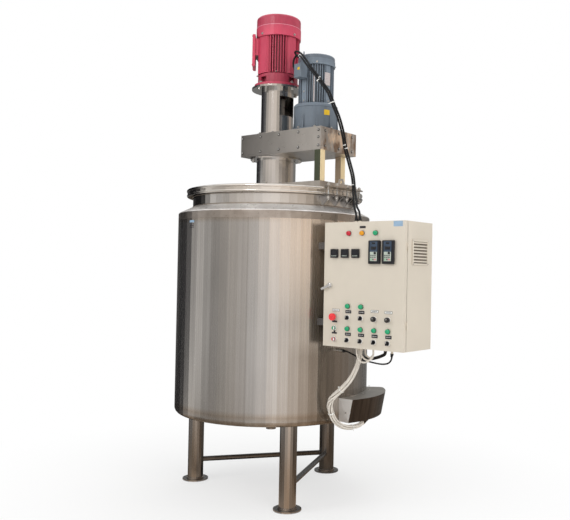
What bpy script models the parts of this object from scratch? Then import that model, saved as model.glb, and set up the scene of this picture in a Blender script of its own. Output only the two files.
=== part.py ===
"""Jacketed mixing tank on three legs, with its agitator drive and its control cabinet.

Metres, +Z up. The frame's X runs along the drive bridge and the cabinet's door, from the main
motor towards the cabinet. The door faces -Y. Inside this file every place is measured from the
tank's own axis on the ground; an empty called site then moves the whole plant so that the middle
of its outer box stands over the origin.
"""

import math

import bmesh
import bpy
from mathutils import Vector

# Clearances
CLEAR = 0.0003
RUN_GAP = 0.005

# Draft of cast fins: how much wider the root is than the tip, as a share
FIN_DRAFT = 1.3

# Roundness of turned shapes, in sides
BIG_SIDES = 64
MID_SIDES = 36
SMALL_SIDES = 20
TINY_SIDES = 14
BORE_SIDES = 12

# Heating jacket
JACKET_R = 0.6175
JACKET_T = 0.004
JACKET_KNUCKLE_Z = 0.526
JACKET_KNUCKLE = 0.030
JACKET_BOTTOM_RIM = 0.026
DISH_SLOPE = math.radians(5.0)
SHOULDER_EDGE_Z = 1.747
SHOULDER_EDGE_ROUND = 0.010
SHOULDER_SKIRT = 0.047
SHOULDER_RISE = 0.043

# Inner vessel and its rim
JACKET_SPACE = 0.0885
VESSEL_T = 0.004
FLOOR_SPACE = 0.074
VESSEL_KNUCKLE = 0.050
VESSEL_BOTTOM_RIM = 0.040
NECK_RISE = 0.109
RIM_REACH = 0.036
RIM_LIP = 0.045
RIM_T = 0.004
COVER_INSET = 0.012
COVER_T = 0.003
COVER_GAP = 0.004

# Drain
DRAIN_R = 0.0255
DRAIN_T = 0.003
DRAIN_COLLAR_R = 0.070
DRAIN_END_Z = 0.367
FERRULE_R = 0.032
FERRULE_H = 0.009

# Legs and their ties
LEG_R = 0.051
LEG_T = 0.004
LEG_INSET = 0.0949
FOOT_R = 0.084
FOOT_T = 0.010
LEG_FRONT_ANGLE = math.radians(53.6)
TIE_R = 0.017
TIE_HEIGHT = 0.130

# Bridge over the rim, the clamps that hold it down, and its lifting eye
BRIDGE_INSET = 0.0519
BRIDGE_HALF_Y = 0.1787
BRIDGE_H = 0.040
BRIDGE_T = 0.005
LUG_REACH = 0.035
LUG_T = 0.008
GUSSET_T = 0.006
GUSSET_DROP = 0.055
GUSSET_EDGE = 0.008
GUSSET_SHARES = (-0.895, -0.29, 0.29, 0.895)
EYE_W = 0.060
EYE_TOP_W = 0.030
EYE_H = 0.042
EYE_T = 0.008
EYE_HOLE_R = 0.010
EYE_FROM_END = 0.055
EYE_FROM_SIDE = 0.075

# Columns on the tank's axis
LOWER_COLUMN_R = 0.1275
LOWER_COLUMN_H = 0.1864
UPPER_COLUMN_R = 0.105
UPPER_COLUMN_H = 0.3181
COLUMN_T = 0.006
BASE_FLANGE_R = 0.152
BASE_FLANGE_T = 0.010
TOP_FLANGE_R = 0.168
TOP_FLANGE_T = 0.012
FOOT_FLANGE_R = 0.142
FOOT_FLANGE_T = 0.012
MOTOR_PLATE_R = 0.168
MOTOR_PLATE_T = 0.012
MOTOR_PLATE_BORE = 0.065
WINDOW_HALF_W = 0.068
WINDOW_RISE = 0.132
WINDOW_H = 0.125
SHAFT_R = 0.022
COUPLING_R = 0.052
COUPLING_H = 0.110
COUPLING_GROOVE = 0.004

# Belt box
BOX_H = 0.1395
BOX_END = 0.1463
BOX_GUARD_T = 0.003
BOX_PLATE_T = 0.016

# Posts under the belt box
POST_W = 0.045
POST_T = 0.003
POST_REAR_INSET = 0.0831

# Main motor
MOTOR_EDGE = 0.004
BELL_FLANGE_R = 0.152
BELL_FLANGE_T = 0.020
BELL_R = 0.130
BELL_H = 0.084
BELL_POCKET_W = 0.050
BELL_POCKET_H = 0.038
BELL_POCKET_IN = 0.024
MAIN_FRAME_H = 0.238
MAIN_ROOT_R = 0.119
MAIN_FIN_R = 0.138
MAIN_FIN_T = 0.0045
MAIN_FINS = 7
MAIN_FIN_STEP = math.radians(7.0)
MAIN_PAD_ANGLE = math.radians(-4.0)
MAIN_PAD_SEAT = 0.134
MAIN_PAD_W = 0.052
MAIN_COWL_R = 0.1435
MAIN_COWL_LAP = 0.002
MAIN_COWL_SKIRT = 0.067
MAIN_COWL_SIDE = 0.068
MAIN_COWL_DOME = 0.024
MAIN_COWL_ROUND = 0.014
MAIN_BOX_SEAT = 0.129
MAIN_BOX_GAP = 0.0025
MAIN_BOX_W = 0.110
MAIN_BOX_RISE = 0.123
MAIN_BOX_H = 0.110
MAIN_LID_T = 0.019
MAIN_LID_W = 0.130
MAIN_LID_RISE = 0.050
MAIN_LID_H = 0.208
MAIN_LID_ROUND = 0.004

# Gear motor
GEAR_X = 0.325
GEAR_FLANGE_R = 0.150
GEAR_FLANGE_T = 0.014
GEAR_R = 0.138
GEAR_H = 0.170
GEAR_EDGE = 0.008
GEAR_SEAM_DROP = 0.024
GEAR_SEAM = 0.002
GEAR_RIBS = 10
GEAR_RIB_ANGLE = math.radians(6.6)
GEAR_RIB_T = 0.008
GEAR_RIB_H = 0.085
SIDE_FRAME_H = 0.241
SIDE_ROOT_R = 0.098
SIDE_FIN_R = 0.111
SIDE_FIN_T = 0.004
SIDE_FINS = 8
SIDE_FIN_STEP = math.radians(8.0)
SIDE_PAD_SEAT = 0.106
SIDE_PAD_W = 0.036
SIDE_COWL_R = 0.1155
SIDE_COWL_SKIRT = 0.036
SIDE_COWL_SIDE = 0.028
SIDE_COWL_DOME = 0.022
SIDE_COWL_ROUND = 0.010
SIDE_BOX_ANGLE = math.radians(-6.0)
SIDE_BOX_SEAT = 0.108
SIDE_BOX_REACH = 0.166
SIDE_BOX_W = 0.062
SIDE_BOX_RISE = 0.151
SIDE_BOX_H = 0.086
SIDE_BOX_ROUND = 0.003

# Heater cover, low on the jacket
HEATER_REACH = 0.1355
HEATER_BACK = 0.060
HEATER_ANGLE = math.radians(16.6)
HEATER_BOW_R = 0.487
HEATER_HALF = 0.285
HEATER_FLARE = math.radians(18.7)
HEATER_CORNER = 0.030
HEATER_LEAN = 0.025
HEATER_DROP = 0.018
HEATER_H = 0.138
HEATER_T = 0.003

# Control cabinet
CAB_GAP = 0.0299
CAB_W = 0.5414
CAB_FRONT = -0.2892
CAB_DEPTH = 0.2812
CAB_DROP = 0.072
CAB_H = 0.700
CAB_T = 0.003
DOOR_T = 0.022
DOOR_SKIN = 0.003
DOOR_GAP = 0.005
HINGE_R = 0.005
HINGE_PIN_R = 0.0025
HINGE_SIDE_GAP = 0.0008
HINGE_STEP = 0.001
HINGE_H = 0.022
HINGE_RISE = 0.140
BRACKET_H = 0.040
BRACKET_RISE = 0.130
BRACKET_INSET = 0.0442
BRACKET_W = 0.215
LOUVRE_W = 0.164
LOUVRE_H = 0.138
LOUVRE_T = 0.007
LOUVRE_SLOTS = 6
LOUVRE_SLOT_H = 0.011
LOUVRE_BORDER = 0.012
LOUVRE_FROM_BACK = 0.050
LOUVRE_FROM_TOP = 0.098

# What the door carries, from the door's left edge and the cabinet's foot
COLUMNS_X = (0.1731, 0.2631, 0.3531, 0.4431)
ROWS_Z = (0.042, 0.105, 0.167, 0.230)
LAMP_ROW_Z = 0.636
STOP_X = 0.0790
BUTTONS_X = 0.0830
LAMP_R = 0.0125
LAMP_H = 0.012
METER_W = 0.048
METER_H = 0.010
METERS_X = (0.0750, 0.1480, 0.2210)
METER_Z = 0.524
KEYPAD_W = 0.074
KEYPAD_H = 0.128
KEYPAD_T = 0.018
KEYPADS_X = (0.3512, 0.4420)
KEYPAD_Z = 0.531
KEYPAD_EDGE = 0.004
BEZEL_R = 0.0145
BEZEL_H = 0.004
STEM_R = 0.0060
STEM_IN = 0.012
STOP_HEAD_R = 0.0200
STOP_HEAD_H = 0.014
STOP_STEM = 0.010
BUTTON_R = 0.0110
BUTTON_H = 0.007
SELECTOR_R = 0.0120
SELECTOR_H = 0.008
SELECTOR_GRIP = 0.012
SELECTOR_GRIP_W = 0.007
KNOB_R = 0.0130
KNOB_H = 0.018
LATCH_X = 0.0480
LATCH_Z = 0.344
LATCH_R = 0.0140
LATCH_H = 0.012
LATCH_LENGTH = 0.062
LATCH_W = 0.014
LATCH_T = 0.006
LATCH_ROUND = 0.002
LATCH_DROOP = math.radians(23.0)

# Cables
CABLE_R = 0.0062
LOOM_R = 0.0150
PROBE_CABLE_R = 0.0045
GLAND_L = 0.022
GLAND_SHARE = 1.6
LOOM_GLAND_SHARE = 1.15
SIDE_GLAND_RISE = 0.1925
SIDE_GLAND_OUT = 0.012
SIDE_GLAND_TILT = math.radians(45.0)
MAIN_GLAND_RISE = 0.145
MAIN_GLAND_LIFT = 0.002
PAIR_STEP = (0.0062, 0.0045, 0.0030)
TOP_GLAND_IN = 0.0646
TOP_GLAND_FROM_BACK = 0.067
TOP_GLAND_STEP = 0.026
LOOM_IN = 0.1876
LOOM_FROM_FRONT = 0.1042
PROBE_IN = 0.4126
PROBE_FROM_FRONT = 0.0892
PROBE_ANGLE = math.radians(-9.0)
PROBE_DROP = 0.045
PROBE_BOSS_R = 0.011
HEATER_GLAND_OUT = 0.0725
HEATER_GLAND_Y = 0.085
HEATER_GLAND_L = 0.040
HEATER_GLAND_IN = 0.042
HEATER_GLAND_TILT = math.radians(65.0)

# Places worked out from the sizes above, outwards from the jacket and up from the floor
VESSEL_R = JACKET_R - JACKET_SPACE
RIM_R = VESSEL_R + RIM_REACH
COVER_R = RIM_R - COVER_INSET
LEG_CIRCLE = JACKET_R - LEG_INSET
BRIDGE_HALF_X = RIM_R - BRIDGE_INSET
LUG_R = RIM_R + LUG_REACH
BOX_X0 = -BOX_END
BOX_X1 = BRIDGE_HALF_X
BOX_HALF_Y = BRIDGE_HALF_Y
HEATER_R = JACKET_R + HEATER_REACH
CAB_X0 = JACKET_R + CAB_GAP
CAB_X1 = CAB_X0 + CAB_W
CAB_BACK = CAB_FRONT + CAB_DEPTH
DOOR_BACK = CAB_FRONT + DOOR_T
CAB_BODY_FRONT = DOOR_BACK + DOOR_GAP
HINGE_X = CAB_X1 + HINGE_R + HINGE_SIDE_GAP
HINGE_Y = DOOR_BACK + DOOR_GAP / 2

JACKET_SEAM_LOW = JACKET_KNUCKLE_Z + JACKET_BOTTOM_RIM
JACKET_SEAM_HIGH = SHOULDER_EDGE_Z - SHOULDER_SKIRT
SHOULDER_TOP_Z = SHOULDER_EDGE_Z + SHOULDER_RISE
VESSEL_KNUCKLE_Z = JACKET_KNUCKLE_Z + FLOOR_SPACE
VESSEL_FLOOR_SEAM = VESSEL_KNUCKLE_Z + VESSEL_BOTTOM_RIM
RIM_TOP = SHOULDER_TOP_Z + NECK_RISE
BRIDGE_Z0 = RIM_TOP + CLEAR
BRIDGE_Z1 = RIM_TOP + BRIDGE_H
BOX_LOW = BRIDGE_Z1 + LOWER_COLUMN_H
BOX_HIGH = BOX_LOW + BOX_H
COLUMN_TOP = BOX_HIGH + UPPER_COLUMN_H
MAIN_FRAME_Z0 = COLUMN_TOP + BELL_H
MAIN_FRAME_Z1 = MAIN_FRAME_Z0 + MAIN_FRAME_H
GEAR_TOP = BOX_HIGH + GEAR_H
SIDE_FRAME_Z1 = GEAR_TOP + SIDE_FRAME_H
HEATER_Z0 = JACKET_KNUCKLE_Z - HEATER_DROP
HEATER_Z1 = HEATER_Z0 + HEATER_H
CAB_Z1 = SHOULDER_EDGE_Z - CAB_DROP
CAB_Z0 = CAB_Z1 - CAB_H
PLANT_X0 = -JACKET_R
PLANT_X1 = HINGE_X + HINGE_R
MAIN_BOX_ANGLE = MAIN_PAD_ANGLE - math.radians(45)
MAIN_BOX_REACH = MAIN_COWL_R + MAIN_COWL_LAP + MAIN_BOX_GAP
LEG_ANGLES = {
    "leg_left": LEG_FRONT_ANGLE - math.radians(120),
    "leg_front": LEG_FRONT_ANGLE,
    "leg_rear": LEG_FRONT_ANGLE + math.radians(120),
}


def clear_scene():
    for obj in list(bpy.data.objects):
        bpy.data.objects.remove(obj)


def collection(name):
    made = bpy.data.collections.new(name)
    bpy.context.scene.collection.children.link(made)
    return made


def finish(name, colour, metallic, roughness):
    """A plain Principled material; colour is an sRGB triple from 0 to 255."""
    made = bpy.data.materials.new(name)
    made.use_nodes = True
    shader = made.node_tree.nodes["Principled BSDF"]
    linear = [((c / 255 + 0.055) / 1.055) ** 2.4 for c in colour]
    shader.inputs["Base Color"].default_value = (*linear, 1)
    shader.inputs["Metallic"].default_value = metallic
    shader.inputs["Roughness"].default_value = roughness
    return made


clear_scene()
PARTS = collection("mixing_tank")
CUTTERS = collection("mixing_tank_cutters")
SITE = bpy.data.objects.new("site", None)
PARTS.objects.link(SITE)
SITE.location = (-(PLANT_X0 + PLANT_X1) / 2, 0, 0)

BRUSHED = finish("brushed_stainless", (176, 170, 164), 1.0, 0.32)
POLISHED = finish("polished_stainless", (196, 192, 188), 1.0, 0.2)
PIPE = finish("stainless_pipe", (150, 136, 124), 1.0, 0.35)
RED = finish("red_enamel", (196, 52, 74), 0.0, 0.35)
GREY = finish("grey_enamel", (92, 102, 110), 0.0, 0.45)
BEIGE = finish("beige_powder_coat", (216, 208, 194), 0.0, 0.5)
BLACK = finish("black_plastic", (28, 30, 36), 0.0, 0.45)
STEEL = finish("machined_steel", (120, 120, 122), 1.0, 0.4)
SIGNAL_RED = finish("red_plastic", (200, 30, 30), 0.0, 0.35)
SIGNAL_GREEN = finish("green_plastic", (20, 130, 70), 0.0, 0.35)
PALE_CABLE = finish("pale_cable_sheath", (214, 208, 200), 0.0, 0.5)
ZINC = finish("zinc_plate", (170, 172, 174), 1.0, 0.35)


def put(name, data, skin, at=(0, 0, 0), parent=None):
    obj = bpy.data.objects.new(name, data)
    PARTS.objects.link(obj)
    obj.location = at
    obj.parent = parent or SITE
    if skin:
        data.materials.append(skin)
    return obj


def as_cutter(obj):
    """Moves a shape to the cutters, where it only shapes other pieces."""
    PARTS.objects.unlink(obj)
    CUTTERS.objects.link(obj)
    obj.hide_render = True
    obj.display_type = "WIRE"
    return obj


def boolean(target, other, operation):
    step = target.modifiers.new(f"{operation.lower()}_{other.name}", "BOOLEAN")
    step.operation = operation
    step.object = as_cutter(other)
    step.solver = "EXACT"
    return target


def cut(target, *others):
    for other in others:
        boolean(target, other, "DIFFERENCE")
    return target


def join(target, *others):
    for other in others:
        boolean(target, other, "UNION")
    return target


def smooth(mesh, angle=35.0):
    mesh.shade_smooth()
    mesh.set_sharp_from_angle(angle=math.radians(angle))


def block(name, low, high, skin, at=(0, 0, 0), parent=None, bevel=0.0):
    """A box between two corners, given from the point at."""
    shape = bmesh.new()
    bmesh.ops.create_cube(shape, size=1.0)
    size = [h - w for w, h in zip(low, high)]
    middle = [(h + w) / 2 for w, h in zip(low, high)]
    for v in shape.verts:
        v.co = Vector((v.co[i] * size[i] + middle[i] for i in range(3)))
    mesh = bpy.data.meshes.new(name)
    shape.to_mesh(mesh)
    shape.free()
    obj = put(name, mesh, skin, at, parent)
    if bevel:
        edge = obj.modifiers.new("edges", "BEVEL")
        edge.width = bevel
        edge.segments = 2
    return obj


def rod(name, radius, low, high, skin, at=(0, 0, 0), parent=None, sides=SMALL_SIDES, along="Z"):
    """A round bar from low to high along an axis through the point at."""
    shape = bmesh.new()
    bmesh.ops.create_cone(
        shape, cap_ends=True, segments=sides, radius1=radius, radius2=radius, depth=high - low
    )
    for v in shape.verts:
        v.co.z += (high + low) / 2
        if along == "X":
            v.co = Vector((v.co.z, v.co.x, v.co.y))
        if along == "Y":
            v.co = Vector((v.co.y, v.co.z, v.co.x))
    mesh = bpy.data.meshes.new(name)
    shape.to_mesh(mesh)
    shape.free()
    smooth(mesh)
    return put(name, mesh, skin, at, parent)


def turned(name, profile, skin, at=(0, 0, 0), parent=None, sides=MID_SIDES, ring=True):
    """Turns (radius, height) points round Z. They run down the outer side first; a ring closes."""
    mesh = bpy.data.meshes.new(name)
    count = len(profile)
    edges = [(i, i + 1) for i in range(count - 1)]
    if ring:
        edges.append((count - 1, 0))
    mesh.from_pydata([(r, 0, z) for r, z in profile], edges, [])
    obj = put(name, mesh, skin, at, parent)
    spin = obj.modifiers.new("turn", "SCREW")
    spin.steps = sides
    spin.render_steps = sides
    spin.use_merge_vertices = True
    spin.merge_threshold = 0.00005
    spin.use_smooth_shade = True
    return obj


def round_cut(target, name, radius, low, high, at=(0, 0, 0), sides=BIG_SIDES):
    """Cuts an upright round form out of a piece, from well under low to well over high."""
    cut(target, rod(name, radius, low - radius, high + radius, None, at=at, sides=sides))


def cut_out(name, outlines, low, high, skin, at=(0, 0, 0), parent=None):
    """A flat plate between two heights; outlines after the first are holes through it."""
    curve = bpy.data.curves.new(name, "CURVE")
    curve.dimensions = "2D"
    curve.fill_mode = "BOTH"
    curve.extrude = (high - low) / 2
    for outline in outlines:
        spline = curve.splines.new("POLY")
        spline.points.add(len(outline) - 1)
        for point, (x, y) in zip(spline.points, outline):
            point.co = (x, y, 0, 1)
        spline.use_cyclic_u = True
    drawn = bpy.data.objects.new(name + "_outline", curve)
    PARTS.objects.link(drawn)
    bpy.context.view_layer.update()
    evaluated = drawn.evaluated_get(bpy.context.evaluated_depsgraph_get())
    mesh = bpy.data.meshes.new_from_object(evaluated)
    bpy.data.objects.remove(drawn)
    shape = bmesh.new()
    shape.from_mesh(mesh)
    bmesh.ops.remove_doubles(shape, verts=shape.verts, dist=0.00001)
    bmesh.ops.translate(shape, verts=shape.verts, vec=(0, 0, (low + high) / 2))
    bmesh.ops.recalc_face_normals(shape, faces=shape.faces)
    shape.to_mesh(mesh)
    shape.free()
    mesh.name = name
    return put(name, mesh, skin, at, parent)


def tube(name, points, radius, skin, detail=2):
    """A cable or pipe through a list of points, with closed ends."""
    curve = bpy.data.curves.new(name, "CURVE")
    curve.dimensions = "3D"
    curve.bevel_depth = radius
    curve.bevel_resolution = detail
    curve.use_fill_caps = True
    spline = curve.splines.new("POLY")
    spline.points.add(len(points) - 1)
    for point, co in zip(spline.points, points):
        point.co = (*co, 1)
    return put(name, curve, skin)


def heading(azimuth):
    """The level direction at an angle from -Y towards +X."""
    return Vector((math.sin(azimuth), -math.cos(azimuth), 0))


def polar(radius, azimuth, z=0.0):
    return heading(azimuth) * radius + Vector((0, 0, z))


def arc(radius, start, end, count, centre=(0, 0)):
    """Points on a circle, by angle from +X anticlockwise."""
    step = (end - start) / count
    angles = [start + step * i for i in range(count + 1)]
    return [(centre[0] + radius * math.cos(a), centre[1] + radius * math.sin(a)) for a in angles]


def dish(radius, top, knuckle_z, knuckle, thickness, hole):
    """The section of a shallow dished end: straight rim, knuckle, then a cone down to a hole."""
    outer, inner = [(radius, top)], [(radius - thickness, top)]
    turns = 5
    for side, bend in ((outer, knuckle), (inner, knuckle - thickness)):
        for i in range(turns + 1):
            a = (math.pi / 2 - DISH_SLOPE) * i / turns
            side.append((radius - knuckle + bend * math.cos(a), knuckle_z - bend * math.sin(a)))
        r, z = side[-1]
        side.append((hole, z - (r - hole) * math.tan(DISH_SLOPE)))
    return outer + inner[::-1]


def vessel_bottom_section():
    hole = DRAIN_COLLAR_R + CLEAR
    return dish(
        VESSEL_R, VESSEL_FLOOR_SEAM, VESSEL_KNUCKLE_Z, VESSEL_KNUCKLE, VESSEL_T, hole
    )


def make_vessel():
    turned(
        "vessel_wall",
        [
            (VESSEL_R, RIM_TOP - RIM_T - CLEAR),
            (VESSEL_R, VESSEL_FLOOR_SEAM + CLEAR),
            (VESSEL_R - VESSEL_T, VESSEL_FLOOR_SEAM + CLEAR),
            (VESSEL_R - VESSEL_T, RIM_TOP - RIM_T - CLEAR),
        ],
        BRUSHED,
        sides=BIG_SIDES,
    )
    turned("vessel_bottom", vessel_bottom_section(), BRUSHED, sides=BIG_SIDES)
    lip = RIM_R - RIM_T
    under = RIM_TOP - RIM_T
    turned(
        "rim_flange",
        [
            (RIM_R, RIM_TOP),
            (RIM_R, RIM_TOP - RIM_LIP),
            (lip, RIM_TOP - RIM_LIP),
            (lip, under),
            (VESSEL_R - VESSEL_T, under),
            (VESSEL_R - VESSEL_T, RIM_TOP),
        ],
        POLISHED,
        sides=BIG_SIDES,
    )
    chord = BRIDGE_HALF_Y + COVER_GAP
    half = math.acos(chord / COVER_R)
    for name, middle in (("cover_front", -math.pi / 2), ("cover_rear", math.pi / 2)):
        outline = arc(COVER_R, middle - half, middle + half, BIG_SIDES // 2)
        cut_out(name, [outline], RIM_TOP + CLEAR, RIM_TOP + CLEAR + COVER_T, BRUSHED)


def jacket_bottom_section(hole):
    return dish(JACKET_R, JACKET_SEAM_LOW, JACKET_KNUCKLE_Z, JACKET_KNUCKLE, JACKET_T, hole)


def make_jacket():
    turned(
        "jacket_wall",
        [
            (JACKET_R, JACKET_SEAM_HIGH - CLEAR),
            (JACKET_R, JACKET_SEAM_LOW + CLEAR),
            (JACKET_R - JACKET_T, JACKET_SEAM_LOW + CLEAR),
            (JACKET_R - JACKET_T, JACKET_SEAM_HIGH - CLEAR),
        ],
        BRUSHED,
        sides=BIG_SIDES,
    )
    rise = math.atan2(SHOULDER_TOP_Z - SHOULDER_EDGE_Z, JACKET_R - VESSEL_R)
    turn = math.pi / 2 - rise
    top, bend = SHOULDER_EDGE_Z, SHOULDER_EDGE_ROUND
    centre = (JACKET_R - bend, top - bend * math.tan(turn / 2))
    outer = [(VESSEL_R + CLEAR, SHOULDER_TOP_Z)]
    rounded = [
        (centre[0] + bend * math.cos(turn * i / 4), centre[1] + bend * math.sin(turn * i / 4))
        for i in range(4, -1, -1)
    ]
    outer += rounded + [(JACKET_R, JACKET_SEAM_HIGH)]
    inner = [
        (JACKET_R - JACKET_T, JACKET_SEAM_HIGH),
        (JACKET_R - JACKET_T, centre[1]),
        (VESSEL_R + CLEAR, SHOULDER_TOP_Z - JACKET_T / math.cos(rise)),
    ]
    turned("jacket_shoulder", outer + inner, BRUSHED, sides=BIG_SIDES)
    turned("jacket_bottom", jacket_bottom_section(DRAIN_R + CLEAR), BRUSHED, sides=BIG_SIDES)


def make_drain():
    """The outlet's tube, with the collar that closes the middle of the vessel's bottom."""
    edge = [z for r, z in vessel_bottom_section() if r == DRAIN_COLLAR_R + CLEAR]
    low, top = min(edge), max(edge)
    bore = DRAIN_R - DRAIN_T
    turned(
        "drain_outlet",
        [
            (DRAIN_COLLAR_R, top),
            (DRAIN_COLLAR_R, low),
            (DRAIN_R, low),
            (DRAIN_R, DRAIN_END_Z + FERRULE_H * 2),
            (FERRULE_R, DRAIN_END_Z + FERRULE_H),
            (FERRULE_R, DRAIN_END_Z),
            (bore, DRAIN_END_Z),
            (bore, top),
        ],
        PIPE,
        sides=SMALL_SIDES,
    )


def under_jacket(name):
    """Everything above the jacket's underside, for cutting the legs' tops to it."""
    outer = jacket_bottom_section(0.0)
    half = len(outer) // 2
    high = JACKET_SEAM_LOW + JACKET_R
    profile = [(0.0, high), (JACKET_R, high)] + outer[:half]
    return turned(name, profile, None, at=(0, 0, -CLEAR), sides=BIG_SIDES, ring=False)


def make_legs():
    top = JACKET_KNUCKLE_Z
    profile = [
        (LEG_R - LEG_T, top),
        (LEG_R, top),
        (LEG_R, FOOT_T),
        (FOOT_R, FOOT_T),
        (FOOT_R, 0.0),
        (0.0, 0.0),
    ]
    inside = [(0.0, FOOT_T), (LEG_R - LEG_T, FOOT_T)]
    for name, azimuth in LEG_ANGLES.items():
        leg = turned(
            name, inside + profile, PIPE, polar(LEG_CIRCLE, azimuth), sides=SMALL_SIDES, ring=False
        )
        cut(leg, under_jacket(name + "_top_cut"))


def make_tie(name, first, second):
    """A tube between two legs, cut to fit against each leg's round side."""
    a, b = (polar(LEG_CIRCLE, LEG_ANGLES[leg], TIE_HEIGHT) for leg in (first, second))
    span = b - a
    tie = rod(name, TIE_R, 0.0, span.length, PIPE, at=a, sides=TINY_SIDES, along="X")
    tie.rotation_euler = (0, 0, math.atan2(span.y, span.x))
    for end, place in ((first, a), (second, b)):
        round_cut(tie, f"{name}_{end}_saddle", LEG_R + CLEAR, -TIE_R, TIE_R, place, SMALL_SIDES)


def ring_plate(name, inner, outer, half, middle, low, high, skin):
    """A flat piece of a ring, half an angle each side of the middle one."""
    count = 8
    outline = arc(outer, middle - half, middle + half, count)
    outline += arc(inner, middle + half, middle - half, count)
    return cut_out(name, [outline], low, high, skin)


def make_bridge():
    beam = block(
        "bridge_beam",
        (-BRIDGE_HALF_X, -BRIDGE_HALF_Y, BRIDGE_Z0),
        (BRIDGE_HALF_X, BRIDGE_HALF_Y, BRIDGE_Z1),
        BRUSHED,
    )
    inside_x, inside_y = BRIDGE_HALF_X - BRIDGE_T, BRIDGE_HALF_Y - BRIDGE_T
    hollow = block(
        "bridge_hollow",
        (-inside_x, -inside_y, BRIDGE_Z0 - BRIDGE_T),
        (inside_x, inside_y, BRIDGE_Z1 - BRIDGE_T),
        None,
    )
    cut(beam, hollow)
    half = math.asin(BRIDGE_HALF_Y / LUG_R)
    inner = BRIDGE_HALF_X - BRIDGE_T / 2
    for side, middle in (("right", 0.0), ("left", math.pi)):
        lug = ring_plate(
            f"bridge_lug_{side}", inner, LUG_R, half, middle, BRIDGE_Z0, BRIDGE_Z0 + LUG_T, None
        )
        join(beam, lug)
        make_clamp(f"bridge_clamp_{side}", middle, half)
    join(beam, lifting_eye())


def lifting_eye():
    """An upright plate with a hole, welded to the bridge near the rear post."""
    foot, head = EYE_W / 2, EYE_TOP_W / 2
    outline = [(-foot, -BRIDGE_T / 2), (foot, -BRIDGE_T / 2), (head, EYE_H), (-head, EYE_H)]
    hole = arc(EYE_HOLE_R, 0.0, 2 * math.pi, BORE_SIDES, (0, EYE_H / 2))[:-1]
    at = (BRIDGE_HALF_X - EYE_FROM_END, BRIDGE_HALF_Y - EYE_FROM_SIDE, BRIDGE_Z1)
    eye = cut_out("lifting_eye", [outline, hole], -EYE_T / 2, EYE_T / 2, None, at=at)
    eye.rotation_euler = (math.pi / 2, 0, 0)
    return eye


def make_clamp(name, middle, half):
    """The lower plate that the bridge's bolts pull up under the rim, with its gussets."""
    high = RIM_TOP - RIM_LIP - CLEAR
    inner = VESSEL_R - VESSEL_T
    clamp = ring_plate(name, inner, LUG_R, half, middle, high - LUG_T, high, BRUSHED)
    low = high - LUG_T
    reach = LUG_R - GUSSET_EDGE
    outline = [(inner, low + LUG_T / 2), (inner, low - GUSSET_DROP), (VESSEL_R, low - GUSSET_DROP)]
    outline += [(reach, low), (reach, low + LUG_T / 2)]
    for i, share in enumerate(GUSSET_SHARES):
        gusset = cut_out(f"{name}_gusset_{i}", [outline], -GUSSET_T / 2, GUSSET_T / 2, None)
        gusset.rotation_euler = (math.pi / 2, 0, middle + half * share)
        join(clamp, gusset)
    round_cut(clamp, f"{name}_neck", VESSEL_R + CLEAR, low, high)


def make_columns():
    inner = LOWER_COLUMN_R - COLUMN_T
    low, high = BRIDGE_Z1 + CLEAR, BOX_LOW - CLEAR
    turned(
        "lower_column",
        [
            (TOP_FLANGE_R, high),
            (TOP_FLANGE_R, high - TOP_FLANGE_T),
            (LOWER_COLUMN_R, high - TOP_FLANGE_T),
            (LOWER_COLUMN_R, low + BASE_FLANGE_T),
            (BASE_FLANGE_R, low + BASE_FLANGE_T),
            (BASE_FLANGE_R, low),
            (inner, low),
            (inner, high),
        ],
        BRUSHED,
    )
    inner = UPPER_COLUMN_R - COLUMN_T
    low = BOX_HIGH + CLEAR
    plate = COLUMN_TOP - MOTOR_PLATE_T
    column = turned(
        "upper_column",
        [
            (MOTOR_PLATE_R, COLUMN_TOP),
            (MOTOR_PLATE_R, plate),
            (UPPER_COLUMN_R, plate),
            (UPPER_COLUMN_R, low + FOOT_FLANGE_T),
            (FOOT_FLANGE_R, low + FOOT_FLANGE_T),
            (FOOT_FLANGE_R, low),
            (inner, low),
            (inner, plate),
            (MOTOR_PLATE_BORE, plate),
            (MOTOR_PLATE_BORE, COLUMN_TOP),
        ],
        BRUSHED,
    )
    reach = UPPER_COLUMN_R * 2
    sill = BOX_HIGH + WINDOW_RISE
    window = block(
        "column_window",
        (SHAFT_R, -WINDOW_HALF_W, sill),
        (reach, WINDOW_HALF_W, sill + WINDOW_H),
        None,
    )
    cut(column, window)
    middle = sill + WINDOW_H / 2
    low, high = middle - COUPLING_H / 2, middle + COUPLING_H / 2
    neck = COUPLING_R - COUPLING_GROOVE
    turned(
        "drive_coupling",
        [
            (0.0, COLUMN_TOP),
            (SHAFT_R, COLUMN_TOP),
            (SHAFT_R, high),
            (COUPLING_R, high),
            (COUPLING_R, middle + COUPLING_GROOVE),
            (neck, middle + COUPLING_GROOVE),
            (neck, middle - COUPLING_GROOVE),
            (COUPLING_R, middle - COUPLING_GROOVE),
            (COUPLING_R, low),
            (SHAFT_R, low),
            (SHAFT_R, BOX_HIGH + CLEAR),
            (0.0, BOX_HIGH + CLEAR),
        ],
        STEEL,
        sides=SMALL_SIDES,
        ring=False,
    )


def rectangle(x0, y0, x1, y1):
    return [(x0, y0), (x1, y0), (x1, y1), (x0, y1)]


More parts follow.
